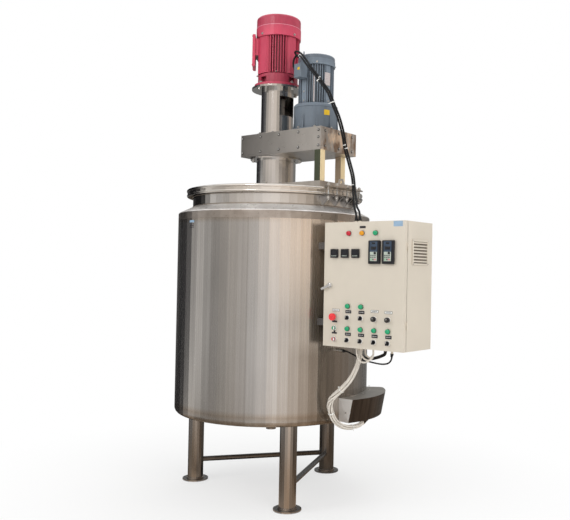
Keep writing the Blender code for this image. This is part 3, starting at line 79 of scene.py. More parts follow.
TANK_X = middle("vessel_wall").x
GEAR_X = middle("gear_motor_cowl").x - TANK_X
JACKET_R, NECK_R, RIM_R = (high(node).y for node in ("jacket_wall", "vessel_wall", "rim_flange"))
SEAM_LOW, SEAM_HIGH = low("jacket_wall").z, high("jacket_wall").z
SHOULDER_TOP = high("jacket_shoulder").z
RIM_LOW, RIM_TOP = low("rim_flange").z, high("rim_flange").z
BRIDGE_TOP = low("lower_column").z - 0.0003
BOX_LOW, BOX_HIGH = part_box("belt_box_guard")
CABINET_LEFT, CABINET_RIGHT = low("cabinet_door").x, high("cabinet_body").x
DOOR_FOOT, DOOR_HEAD = low("cabinet_door").z, high("cabinet_door").z
KEYPAD_FACE, DOOR_FACE = low("keypad_left").y, high("keypad_left").y + 0.0003
HEATER_TOP = high("heater_cover").z
BELL_LOW, BELL_HIGH = low("main_motor_endbell").z, high("main_motor_endbell").z
COWL_FOOT, COWL_TOP = low("main_motor_cowl").z, high("main_motor_cowl").z
COWL_R, GEAR_COWL_R = high("main_motor_cowl").y, high("gear_motor_cowl").y
GEAR_COWL_FOOT, GEAR_COWL_TOP = low("gear_motor_cowl").z, high("gear_motor_cowl").z
GEAR_FRAME_FOOT = low("gear_motor_frame").z


def site(x, y, z):
    """A place given from the tank's axis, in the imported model's frame."""
    return Vector((x + TANK_X, y, z))


def up(z):
    return Vector((0, 0, z))


def heading(azimuth):
    """The level direction at an azimuth."""
    turn = math.radians(azimuth)
    return Vector((math.sin(turn), -math.cos(turn), 0))


def hex_colour(text):
    """An sRGB hex colour as the linear colour that materials work in."""
    channels = [int(text[i : i + 2], 16) / 255 for i in (1, 3, 5)]
    linear = [c / 12.92 if c <= 0.04045 else ((c + 0.055) / 1.055) ** 2.4 for c in channels]
    return (*linear, 1.0)


def shade(colour, factor):
    return tuple(min(1.0, c * factor) for c in colour[:3]) + (1.0,)


def colour_setting(name, description, colour):
    return bpy.props.FloatVectorProperty(
        name=name, description=description, subtype="COLOR", size=4, min=0, max=1,
        default=hex_colour(colour),
    )


def length_setting(name, description, default, smallest, largest):
    return bpy.props.FloatProperty(
        name=name, description=description, unit="LENGTH", default=default,
        min=smallest, max=largest,
    )


class TankFinish(bpy.types.PropertyGroup):
    """Colours of the finishes."""

    steel: colour_setting("Stainless steel", "Tint of the stainless sheet and plate", "#CFCDCA")
    pipe: colour_setting("Stainless pipe", "Tint of the legs, ties and drain", "#9C9B9B")
    heat_tint: colour_setting("Heat tint", "Oxide on the heater cover's bowed front", "#54473B")
    red_enamel: colour_setting("Red enamel", "Paint of the main motor", "#B73C54")
    grey_enamel: colour_setting("Grey enamel", "Paint of the gear unit", "#656F79")
    powder_coat: colour_setting("Powder coat", "Coat of the control cabinet", "#D5CBBB")


class TankDetail(bpy.types.PropertyGroup):
    """Sizes of the small fittings."""

    weld_width: length_setting("Weld width", "Width of the ground weld beads", 0.007, 0.002, 0.02)
    nut_across: length_setting("Bridge nut", "Across flats, bridge nuts", 0.019, 0.01, 0.03)
    guard_screw: length_setting("Guard screw", "Head size, belt box", 0.012, 0.006, 0.02)
    cable_diameter: length_setting("Motor cable", "Outer diameter", 0.0124, 0.008, 0.02)
    lamp_diameter: length_setting("Pilot lamp", "Diameter of a lens", 0.0265, 0.0255, 0.028)


FINISHES = {}
# The stretch that most of a noise texture's values lie in
NOISE = (0.3, 0.7)


def add(tree, kind, inputs=(), out=0, **settings):
    """Adds a shader node and gives its output; a tuple of inputs goes by their order.

    Inputs are values or sockets. A Map Range takes a value, the stretch it lies in and the
    stretch it is spread over.
    """
    node = tree.nodes.new("ShaderNode" + kind)
    for name, value in settings.items():
        setattr(node, name, value)
    by_socket = inputs if isinstance(inputs, dict) else dict(enumerate(inputs))
    for socket, value in by_socket.items():
        if isinstance(value, bpy.types.NodeSocket):
            tree.links.new(value, node.inputs[socket])
        else:
            node.inputs[socket].default_value = value
    return node if out is None else node.outputs[out]


def new_finish(name, colour, metallic=0.0, roughness=0.5, **more):
    """A material with its Principled shader's plain values set on the shader itself."""
    material = bpy.data.materials.new(name)
    material.use_nodes = True
    shader = material.node_tree.nodes["Principled BSDF"]
    shader.inputs["Base Color"].default_value = colour
    shader.inputs["Metallic"].default_value = metallic
    shader.inputs["Roughness"].default_value = roughness
    for socket, value in more.items():
        shader.inputs[socket.replace("_", " ")].default_value = value
    FINISHES[name] = material
    return material.node_tree, shader


def pattern(tree, scale, detail=4.0, stretch=None):
    """Noise with so much finer a grain along each axis, its values spread as stretch says."""
    place = add(tree, "TexCoord", out="Object")
    laid = add(tree, "Mapping", {"Vector": place, "Scale": scale})
    grain = {"Vector": laid, "Scale": 1.0, "Detail": detail, "Roughness": 0.6}
    noise = add(tree, "TexNoise", grain)
    return add(tree, "MapRange", (noise, *stretch)) if stretch else noise


def turned_to(tree, way, start, end, least=0.0, most=1.0):
    """How far a surface faces a way, spread over least to most between two cosines."""
    normal = add(tree, "NewGeometry", out="Normal")
    cosine = add(tree, "VectorMath", (normal, way), "Value", operation="DOT_PRODUCT")
    return add(tree, "MapRange", (cosine, start, end, least, most))


def tinted(tree, shader, cloud, first, second):
    """Two tints of the base colour, mixed as a cloud of noise goes."""
    share = add(tree, "MapRange", (cloud, *NOISE, 0, 1))
    tints = {"Factor": share, "A": first, "B": second}
    mixed = add(tree, "Mix", tints, "Result", data_type="RGBA")
    tree.links.new(mixed, shader.inputs["Base Color"])


def surfaced(tree, shader, mottle, rough, relief=None, strength=0.0, depth=0.0):
    """Roughness that follows a mottle, and a fine relief where there is one."""
    tree.links.new(add(tree, "MapRange", (mottle, *NOISE, *rough)), shader.inputs["Roughness"])
    if relief:
        heights = {"Height": relief, "Strength": strength, "Distance": depth}
        tree.links.new(add(tree, "Bump", heights), shader.inputs["Normal"])


def overlaid(tree, shader, factors, colour, kind="MULTIPLY"):
    """Lays a colour over the shader's own, as strongly as the product of the factors."""
    factor = factors[0]
    for other in factors[1:]:
        factor = add(tree, "Math", (factor, other), operation="MULTIPLY")
    base = shader.inputs["Base Color"].links[0].from_socket
    top = hex_colour(colour) if isinstance(colour, str) else colour
    tints = {"Factor": factor, "A": base, "B": top}
    mixed = add(tree, "Mix", tints, "Result", data_type="RGBA", blend_type=kind)
    tree.links.new(mixed, shader.inputs["Base Color"])


def ground_steel(name, colour, grain, rough=(0.16, 0.26), depth=0.0003, patches=3.0, stain=0.1):
    """304 stainless ground with a belt: long fine scratches that draw reflections into bands."""
    tree, shader = new_finish(name, colour, metallic=1.0, roughness=0.22)
    # Real grit lines are about 0.1 mm wide; they are drawn some 4 mm wide so that they show.
    lines = pattern(tree, grain, 5.0)
    broad = pattern(tree, (patches, patches, patches * 0.5), 3.0)
    tinted(tree, shader, broad, shade(colour, 1 - stain), shade(colour, 1.04))
    surfaced(tree, shader, lines, rough, lines, 0.1, depth)
    return tree, shader


def jacket_steel(colour):
    """Rolled and belt-ground jacket sheet, with a straw heat tint beside its round welds."""
    tree, shader = ground_steel("jacket_sheet", colour, (120, 120, 1.0), (0.2, 0.3), 0.0002)
    streaks = pattern(tree, (34, 34, 0.25), 6.0, (0.35, 0.7, 0, 0.3))
    overlaid(tree, shader, [streaks], "#8E8A86")
    place = add(tree, "TexCoord", out="Object")
    height = add(tree, "SeparateXYZ", (place,), "Z")
    for seam in (SEAM_LOW, SEAM_HIGH):
        away = add(tree, "Math", (height, seam), operation="SUBTRACT")
        away = add(tree, "Math", (away,), operation="ABSOLUTE")
        overlaid(tree, shader, [add(tree, "MapRange", (away, 0.004, 0.03, 0.35, 0))], "#D2B48C")
    # Low sun lies on the top of the side that faces the cabinet.
    lit = add(tree, "MapRange", (height, 1.1, 1.6, 0, 0.85))
    overlaid(tree, shader, [turned_to(tree, RIGHT, 0.5, 0.85), lit], "#FFF4E8", "MIX")
    # The cabinet keeps the light off the sheet below it.
    below = add(tree, "MapRange", (height, 0.9, 1.0, 0.75, 0))
    overlaid(tree, shader, [turned_to(tree, RIGHT, 0.72, 0.93), below], "#C4BEB8")
    # Patches polished by hand where the knuckle's weld was dressed, about 60 mm across
    patch = pattern(tree, (11, 11, 16), 2.0, (*NOISE, 0, 0.5))
    foot = add(tree, "MapRange", (height, SEAM_LOW - 0.035, SEAM_LOW + 0.012, 1, 0))
    overlaid(tree, shader, [patch, foot], "#A39A90")


def shoulder_steel():
    """The hand-dressed shoulder, whose slope catches the open sky as a pale soft band."""
    colour = hex_colour("#FBF8F5")
    tree, shader = ground_steel("shoulder_sheet", colour, (60, 60, 60), (0.26, 0.36), 0.0002)
    bare = turned_to(tree, UP, 0.12, 0.5, 1.0, 0.62)
    tree.links.new(bare, shader.inputs["Metallic"])
    overlaid(tree, shader, [turned_to(tree, UP, 0.12, 0.5, 1.0, 0.0)], "#D0CBC6")
    patch = pattern(tree, (14, 14, 20), 3.0, (*NOISE, 0, 0.45))
    overlaid(tree, shader, [patch], "#B5AAA0")


def rim_steel(name, colour, grain, rough):
    """Steel round the vessel's mouth, with painted shade on its far side, where it faces the dark yard.
    """
    tree, shader = ground_steel(name, colour, grain, rough)
    # Painted shade: darker where the sheet faces azimuth -42 degrees.
    painted_far_shade = turned_to(tree, heading(-42), 0.78, 0.9, 0.0, 0.85)
    overlaid(tree, shader, [painted_far_shade], "#5C5652")


def box_steel():
    """Belt box sheet: dull towards the main motor, oil-stained towards the posts, with patches of sun
    painted on its end.
    """
    colour = hex_colour("#CDC8C2")
    tree, shader = ground_steel("box_sheet", colour, (7, 7, 150), (0.27, 0.36), 0.0001, 7, 0.16)
    shader.inputs["Metallic"].default_value = 0.8
    along = add(tree, "SeparateXYZ", (add(tree, "TexCoord", out="Object"),), "X")
    dull = add(tree, "MapRange", (along, BOX_LOW.x - 0.02, BOX_HIGH.x - 0.06, 0.85, 0))
    overlaid(tree, shader, [dull], "#8B8B8C")
    end = turned_to(tree, RIGHT, 0.4, 0.7)
    drips = pattern(tree, (26, 26, 9), 4.0, (0.42, 0.62, 0, 1))
    overlaid(tree, shader, [drips, end], "#BA9E86")
    # Painted light: warm patches of sun on the end face.
    lit = pattern(tree, (13, 13, 7), 3.0, (0.52, 0.66, 0, 0.9))
    overlaid(tree, shader, [lit, end], "#FFE7CC", "MIX")


def leg_steel(name, colour, bright):
    """Drawn pipe with a dull oxide skin, and a painted sheen down the side that faces azimuth 36
    degrees.
    """
    tree, shader = ground_steel(name, colour, (110, 110, 3.0), (0.18, 0.3), 0.0003, 6.0, 0.2)
    # Painted highlight: a paler stripe down the side that faces azimuth 36 degrees.
    painted_sheen = turned_to(tree, heading(36), 0.92, 0.995, 0.0, bright)
    overlaid(tree, shader, [painted_sheen], "#DCD0C2", "MIX")


def post_steel(name, front_tint):
    """Square tube, its wrapping just peeled, with low sun painted on one side and a dim yard painted on
    the other.
    """
    tree, shader = ground_steel(name, hex_colour("#FFE9BC"), (90, 90, 3.0), (0.3, 0.44))
    shader.inputs["Metallic"].default_value = 0.2
    # Painted light and shade: the faces towards the front take the front tint.
    overlaid(tree, shader, [turned_to(tree, BACK, -0.7, -0.4, 1.0, 0.0)], front_tint)
    stripe = pattern(tree, (60, 60, 4), 3.0, (*NOISE, 0, 0.3))
    overlaid(tree, shader, [stripe], "#C89E6C")


def heater_steel(heat_tint):
    """Folded stainless cover sheet whose bowed front is oxidised brown by the heaters behind it."""
    colour = hex_colour("#A9A59E")
    tree, shader = ground_steel("heater_sheet", colour, (3, 3, 90), (0.3, 0.4), 0.0002, 9, 0.2)
    shader.inputs["Metallic"].default_value = 0.6
    # Painted light: the end face is mixed nearly to white.
    end = turned_to(tree, BACK, -0.8, -0.5, 1.0, 0.0)
    overlaid(tree, shader, [end, 0.9], "#FFFDFA", "MIX")
    front = turned_to(tree, RIGHT, 0.3, 0.5)
    overlaid(tree, shader, [front], heat_tint, "MIX")
    bands = pattern(tree, (9, 26, 0.6), 2.0, (*NOISE, 0, 0.8))
    overlaid(tree, shader, [bands, front], "#5A5048")


def worn_edges(tree, shader, strength, colour):
    """Paint or coat rubbed paler along sharp edges."""
    edge = add(tree, "NewGeometry", out="Pointiness")
    edge = add(tree, "MapRange", (edge, 0.52, 0.6, 0, strength))
    overlaid(tree, shader, [edge], colour, "MIX")


def enamel(name, colour, rough=(0.3, 0.42)):
    """Sprayed enamel on cast metal: soft gloss, a slight orange peel and painted shade between its
    ribs.
    """
    tree, shader = new_finish(name, colour, roughness=0.36, Coat_Weight=0.2, Coat_Roughness=0.25)
    peel = pattern(tree, (260, 260, 260), 2.0)
    dirt = pattern(tree, (14, 14, 9), 4.0)
    tinted(tree, shader, dirt, shade(colour, 0.84), shade(colour, 1.1))
    surfaced(tree, shader, dirt, rough, peel, 0.1, 0.0006)
    worn_edges(tree, shader, 0.5, shade(colour, 1.9))
    # Painted shade: the recesses between the ribs are darkened where ambient occlusion finds them
    # closed in.
    open_sky = add(tree, "AmbientOcclusion", {"Distance": 0.03}, "AO", samples=6)
    painted_rib_shade = add(tree, "MapRange", (open_sky, 0.25, 0.75, 0.62, 0))
    overlaid(tree, shader, [painted_rib_shade], "#5A4E51")


def powder(name, colour):
    """Polyester powder coat: an even satin skin with a fine orange peel about 2 mm across."""
    tree, shader = new_finish(name, colour, roughness=0.48)
    peel = pattern(tree, (480, 480, 480), 2.0)
    cloud = pattern(tree, (5, 5, 5), 3.0)
    tinted(tree, shader, cloud, shade(colour, 0.965), shade(colour, 1.015))
    surfaced(tree, shader, cloud, (0.42, 0.54), peel, 0.09, 0.0004)
    worn_edges(tree, shader, 0.25, shade(colour, 1.15))
    # Painted shade: the side towards the tank, which stands in shade, is darkened.
    overlaid(tree, shader, [turned_to(tree, RIGHT, -0.9, -0.5, 0.8, -0.2)], "#7C756C")


def moulded(name, text, rough=(0.35, 0.5), coat=0.0):
    """Moulded plastic or extruded sheath: near even colour with a fine satin texture."""
    colour = hex_colour(text)
    tree, shader = new_finish(name, colour, roughness=0.42, Coat_Weight=coat)
    skin = pattern(tree, (700, 700, 700), 2.0)
    cloud = pattern(tree, (30, 30, 30), 3.0)
    tinted(tree, shader, cloud, shade(colour, 0.9), shade(colour, 1.08))
    surfaced(tree, shader, cloud, rough, skin, 0.06, 0.0002)


def plated(name, text, rough=(0.2, 0.38), metallic=1.0):
    """Zinc or chrome plate on small steel parts: bright, with a faint mottle."""
    colour = hex_colour(text)
    tree, shader = new_finish(name, colour, metallic=metallic, roughness=0.3)
    mottle = pattern(tree, (160, 160, 160), 3.0)
    tinted(tree, shader, mottle, shade(colour, 0.8), shade(colour, 1.1))
    surfaced(tree, shader, mottle, rough)


def make_finishes(finish):
    steel, pipe, red = tuple(finish.steel), tuple(finish.pipe), tuple(finish.red_enamel)
    jacket_steel(steel)
    shoulder_steel()
    rim_steel("neck_sheet", shade(steel, 1.3), (120, 120, 1.5), (0.18, 0.28))
    rim_steel("rim_bar", hex_colour("#F2EDE6"), (12, 12, 140), (0.14, 0.24))
    ground_steel("column_tube", steel, (150, 150, 2.0), (0.13, 0.24), 0.0002)
    ground_steel("plate_steel", hex_colour("#E4DED6"), (40, 40, 40), (0.24, 0.4), 0.0004, 8, 0.24)
    ground_steel("weld_bead", hex_colour("#B9AEA2"), (90, 90, 90), (0.24, 0.4), 0.001)
    box_steel()
    post_steel("post_tube", "#465450")
    post_steel("rear_post_tube", "#BDB8C4")
    leg_steel("leg_pipe", shade(pipe, 1.1), 0.5)
    leg_steel("shaded_pipe", shade(pipe, 0.78), 0.05)
    heater_steel(tuple(finish.heat_tint))
    enamel("red_enamel", red)
    # A darker copy of the red, painted shade, for the frame and end bell under the cowl and the box's
    # lid.
    enamel("shaded_red_enamel", shade(red, 0.86))
    enamel("grey_enamel", tuple(finish.grey_enamel), (0.38, 0.52))
    powder("powder_coat", tuple(finish.powder_coat))
    # ABS mouldings, dull from handling, and the polished acrylic windows and lamp lenses
    moulded("black_abs", "#17191F")
    moulded("slate_panel", "#35465A")
    moulded("stop_red", "#EE3B40", (0.22, 0.3))
    moulded("display_window", "#0A0F18", (0.06, 0.1), 1.0)
    for name, colour in (("red", "#C01730"), ("amber", "#E59A0A"), ("green", "#0DA06C")):
        moulded(name + "_lens", colour, (0.12, 0.2), 0.6)
    # PVC sheaths and the rubber seal: matt, because nothing polishes them
    moulded("black_sheath", "#0E1014", (0.55, 0.68))
    moulded("pale_sheath", "#DDD5CA", (0.4, 0.55))
    moulded("black_gasket", "#101112", (0.6, 0.75))
    # Silicone keys, and the membrane that carries them: soft and a little dusty
    for name, colour in (("membrane", "#B9C2B6"), ("green_key", "#8FC39A"), ("red_key", "#D9737A")):
        moulded(name, colour, (0.45, 0.6))
    # Printed polyester labels, engraved plates, nylon ties and the seam's painted highlight: a low even
    # sheen
    for name, colour in (
        ("black_label", "#26232B"),
        ("pale_label", "#C2BBB0"),
        ("blue_label", "#93AEC6"),
        ("yellow_label", "#E3B81C"),
    ):
        moulded(name, colour, (0.4, 0.5))
    moulded("white_inlay", "#F2F1EC", (0.35, 0.45))
    moulded("white_tie", "#F0EFEA", (0.35, 0.45))
    # The main cowl's seam in a paler red: a painted highlight.
    moulded("red_seam_highlight", "#E79AAA", (0.3, 0.4))
    # Coated sheet behind the louvre, dark and dull in the blades' shade
    moulded("louvre_shade", "#6E6456", (0.6, 0.75))
    # Zinc, nickel and chrome plate, an etched aluminium plate and turned steel
    plated("zinc", "#DADAD8")
    plated("satin_ring", "#F2F2F0", (0.3, 0.4), 0.5)
    plated("dark_steel", "#6A6866", (0.34, 0.5))
    plated("chrome", "#F4F4F4", (0.12, 0.2), 0.85)
    plated("nameplate", "#D6CCCB", (0.3, 0.42), 0.3)
    plated("machined_steel", "#8A8987", (0.3, 0.44))


SELECTORS = ["selector_upper_left", "selector_upper_right"]
SELECTORS += [f"selector_lower_{i}" for i in (1, 2, 3, 4)]
KNOBS = ["speed_knob_left", "speed_knob_right"]
NODE_FINISH = {
    "jacket_sheet": "jacket_wall jacket_bottom",
    "shoulder_sheet": "jacket_shoulder",
    "neck_sheet": "vessel_wall vessel_bottom cover_front cover_rear",
    "rim_bar": "rim_flange",
    "column_tube": "lower_column upper_column",
    "post_tube": "post_front",
    "rear_post_tube": "post_rear",
    "box_sheet": "belt_box_guard belt_box_floor belt_box_top",
    "plate_steel": "bridge_beam",
    "leg_pipe": "leg_left leg_front drain_outlet bridge_clamp_right bridge_clamp_left",
    "shaded_pipe": "leg_rear tie_left_rear tie_front_rear "
    "cabinet_bracket_lower cabinet_bracket_upper",
    "heater_sheet": "heater_cover",
    "machined_steel": "drive_coupling",
    "red_enamel": "main_motor_cowl main_motor_box",
    "shaded_red_enamel": "main_motor_endbell main_motor_frame",
    "grey_enamel": "gear_housing gear_motor_frame gear_motor_cowl gear_motor_box",
    "powder_coat": "cabinet_body cabinet_door",
    "black_abs": " ".join(["keypad_left keypad_right", *SELECTORS, *KNOBS]),
    "stop_red": "emergency_stop",
    "green_lens": "start_button",
    "red_lens": "stop_button",
    "chrome": "door_latch",
    "zinc": "probe_boss",
}
# How far the edges of pressed, cast and moulded pieces are rounded
SOFT_EDGES = {
    0.0012: "belt_box_guard bridge_beam cabinet_body cabinet_door post_front post_rear "
    "heater_cover main_motor_frame gear_motor_frame upper_column lower_column "
    "keypad_left keypad_right",
    0.0025: "gear_housing main_motor_endbell main_motor_cowl gear_motor_cowl",
    0.0006: " ".join([*SELECTORS, *KNOBS, "start_button stop_button"]),
    0.0040: "emergency_stop",
    0.0090: "rim_flange",
}


def dress_nodes():
    for finish, names in NODE_FINISH.items():
        for name in names.split():
            slots = NODES[name].material_slots
            if not slots:
                NODES[name].data.materials.append(FINISHES[finish])
            for slot in slots:
                slot.material = FINISHES[finish]
    for width, names in SOFT_EDGES.items():
        for name in names.split():
            edge = NODES[name].modifiers.new("soft_edges", "BEVEL")
            edge.width = width
            edge.segments = 4 if width > 0.003 else 2
            edge.limit_method = "ANGLE"
            edge.angle_limit = math.radians(50)
    for node in NODES.values():
        node.data.shade_smooth()
        node.data.set_sharp_from_angle(angle=math.radians(32))


def placed(name, data, body):
    made = bpy.data.objects.new(name, data)
    bpy.context.scene.collection.objects.link(made)
    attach(made, body)
    return made


def piece(name, shape, finish, slot, body=PLANT, angle=35.0):
    """A finished mesh piece that rides on a body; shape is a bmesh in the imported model's frame."""
    mesh = bpy.data.meshes.new(name)
    bmesh.ops.recalc_face_normals(shape, faces=shape.faces)
    shape.to_mesh(mesh)
    shape.free()
    mesh.materials.append(FINISHES[finish])
    mesh.shade_smooth()
    mesh.set_sharp_from_angle(angle=math.radians(angle))
    return placed(name, mesh, body)


def facing(place, out):
    """The transform that puts a shape's foot at a place, standing along a direction."""
    turn = UP.rotation_difference(Vector(out)).to_matrix().to_4x4()
    return Matrix.Translation(place) @ turn


def upright(place, out):
    """A transform with local Y up and local Z outwards, for plates on an upright face."""
    forward = Vector(out).normalized()
    side = UP.cross(forward).normalized()
    turn = Matrix((side, forward.cross(side), forward)).transposed().to_4x4()
    return Matrix.Translation(place) @ turn


def shapes(count):
    return [bmesh.new() for _ in range(count)]


def circle(sides):
    """Level directions, evenly all round."""
    turns = [2 * math.pi * i / sides for i in range(sides)]
    return [Vector((math.cos(t), math.sin(t), 0)) for t in turns]


def joined(shape, rows, round_again=True, closed=True):
    """Skins rows of vertices, round to the first row or not, each row a loop or a line."""
    nexts = rows[1:] + rows[:1] if round_again else rows[1:]
    count = len(rows[0])
    for here, there in zip(rows, nexts):
        for j in range(count if closed else count - 1):
            k = (j + 1) % count
            shape.faces.new((here[j], here[k], there[k], there[j]))


def lathe(shape, profile, at, sides=24):
    """Adds a turned form: (radius, height) points from its foot to its top, round local Z."""
    rings = []
    for radius, height in profile:
        ways = circle(sides) if radius > 1e-6 else [Vector()]
        rings.append([shape.verts.new(at @ (way * radius + up(height))) for way in ways])
    for below, above in zip(rings, rings[1:]):
        for i in range(sides):
            a, b = below[i % len(below)], below[(i + 1) % len(below)]
            c, d = above[(i + 1) % len(above)], above[i % len(above)]
            corners = list(dict.fromkeys((a, b, c, d)))
            if len(corners) > 2:
                shape.faces.new(corners)
    for ring in (rings[0], rings[-1]):
        if len(ring) > 2:
            shape.faces.new(ring)


def hoop(shape, radius, width, thick, at, sides=48):
    """Adds a flat ring: its inner radius, its width along local Z and its thickness outwards."""
    section = ((0, 0), (thick, width * 0.12), (thick, width * 0.88), (0, width))
    rows = []
    for way in circle(sides):
        rows.append([shape.verts.new(at @ (way * (radius + r) + up(z))) for r, z in section])
    joined(shape, rows)


def slab(shape, size, at, edge=0.0):
    """Adds a box of a size, with its middle at a transform's place and its edges rounded."""
    made = bmesh.ops.create_cube(shape, size=1.0, matrix=at @ Matrix.Diagonal((*size, 1.0)))
    if edge:
        edges = list({e for v in made["verts"] for e in v.link_edges})
        bmesh.ops.bevel(shape, geom=edges, offset=edge, segments=3, profile=0.5, affect="EDGES")


def half_disc(shape, at, radius, thick, steps=12):
    """Adds the right half of a disc, seen from the front, standing out by its thickness."""
    turns = [math.pi * (i / steps - 0.5) for i in range(steps + 1)]
    rim = [Vector((radius * math.cos(t), radius * math.sin(t), 0)) for t in turns]
    back = [shape.verts.new(at @ p) for p in rim]
    face = [shape.verts.new(at @ (p + up(thick))) for p in rim]
    shape.faces.new(back)
    shape.faces.new(face)
    joined(shape, [back, face], round_again=False)


def curved_plate(shape, centre, radius, azimuths, heights, thick, steps=10):
    """Adds a thin plate bent round an upright axis between two azimuths and two heights."""
    foot, head = heights
    section = ((radius, foot), (radius + thick, foot), (radius + thick, head), (radius, head))
    rows = []
    for i in range(steps + 1):
        way = heading(azimuths[0] + (azimuths[1] - azimuths[0]) * i / steps)
        rows.append([shape.verts.new(centre + way * r + up(z)) for r, z in section])
    joined(shape, rows, round_again=False)
    shape.faces.new(rows[0])
    shape.faces.new(rows[-1])


def hexagon(shape, at, across, height, washer=0.0, washer_height=0.0):
    """Adds a hexagon nut or head on its washer, with the chamfer a turned blank has."""
    if washer:
        rim = washer_height * 0.25
        flat = [(washer, 0), (washer, washer_height - rim), (washer - rim, washer_height)]
        lathe(shape, flat, at, 20)
    corner = across / math.sqrt(3)
    top = washer_height + height
    profile = [
        (corner * 0.97, washer_height),
        (corner, washer_height + height * 0.08),
        (corner, top - height * 0.16),
        (across * 0.47, top),
    ]
    lathe(shape, profile, at, 6)


def pan_screw(shape, at, radius):
    """Adds a pan-head screw, its recess drawn as a small sunk cone."""
    shares = ((1, 0), (0.98, 0.25), (0.8, 0.5), (0.34, 0.6), (0.3, 0.35), (0, 0.3))
    lathe(shape, [(radius * r, radius * z) for r, z in shares], at, 16)


def bead(shape, radius, height, width, rise, ripple=1.0):
    """Adds a bead round the tank's axis, with the slight ripple of a weld's passes."""
    steps = 6
    rows = []
    for i, way in enumerate(circle(128)):
        swell = 1 + ripple * (0.12 * math.sin(i * 2.7) + 0.08 * math.sin(i * 5.3))
        row = []
        for j in range(steps + 1):
            turn = math.pi * j / steps
            out = way * (radius - 0.0004 + rise * math.sin(turn) * swell)
            z = height + width / 2 * math.cos(turn) * swell
            row.append(shape.verts.new(site(0, 0, z) + out))
        rows.append(row)
    joined(shape, rows, closed=False)


def torus(shape, radius, thickness, at):
    """Adds a ring of round bar, lying across local Z."""
    rows = []
    for way in circle(28):
        row = [way * (radius + thickness * turn.x) + up(thickness * turn.y) for turn in circle(8)]
        rows.append([shape.verts.new(at @ place) for place in row])
    joined(shape, rows)


def smooth_route(points, spacing):
    """Points about a spacing apart on one smooth curve through the route's own points."""
    ends = [points[0] * 2 - points[1], *points, points[-1] * 2 - points[-2]]
    made = []
    for before, a, b, after in zip(ends, ends[1:], ends[2:], ends[3:]):
        steps = max(1, round((b - a).length / spacing))
        for i in range(steps):
            t = i / steps
            bend = (2 * before - 5 * a + 4 * b - after) * t**2
            twist = (3 * a - before - 3 * b + after) * t**3
            made.append(0.5 * (2 * a + (b - before) * t + bend + twist))
    return made + [points[-1]]


def cable(name, points, radius, finish, slot, node=None, stiffness="medium"):
    """A round cable through a smooth line of points."""
    curve = bpy.data.curves.new(name, "CURVE")
    curve.dimensions = "3D"
    curve.bevel_depth = radius
    curve.bevel_resolution = 4
    curve.use_fill_caps = True
    spline = curve.splines.new("POLY")
    spline.points.add(len(points) - 1)
    for point, co in zip(spline.points, points):
        point.co = (*co, 1)
    spline.use_smooth = True
    curve.materials.append(FINISHES[finish])
    made = placed(name, curve, PLANT)
    if node:
        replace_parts(made, node)


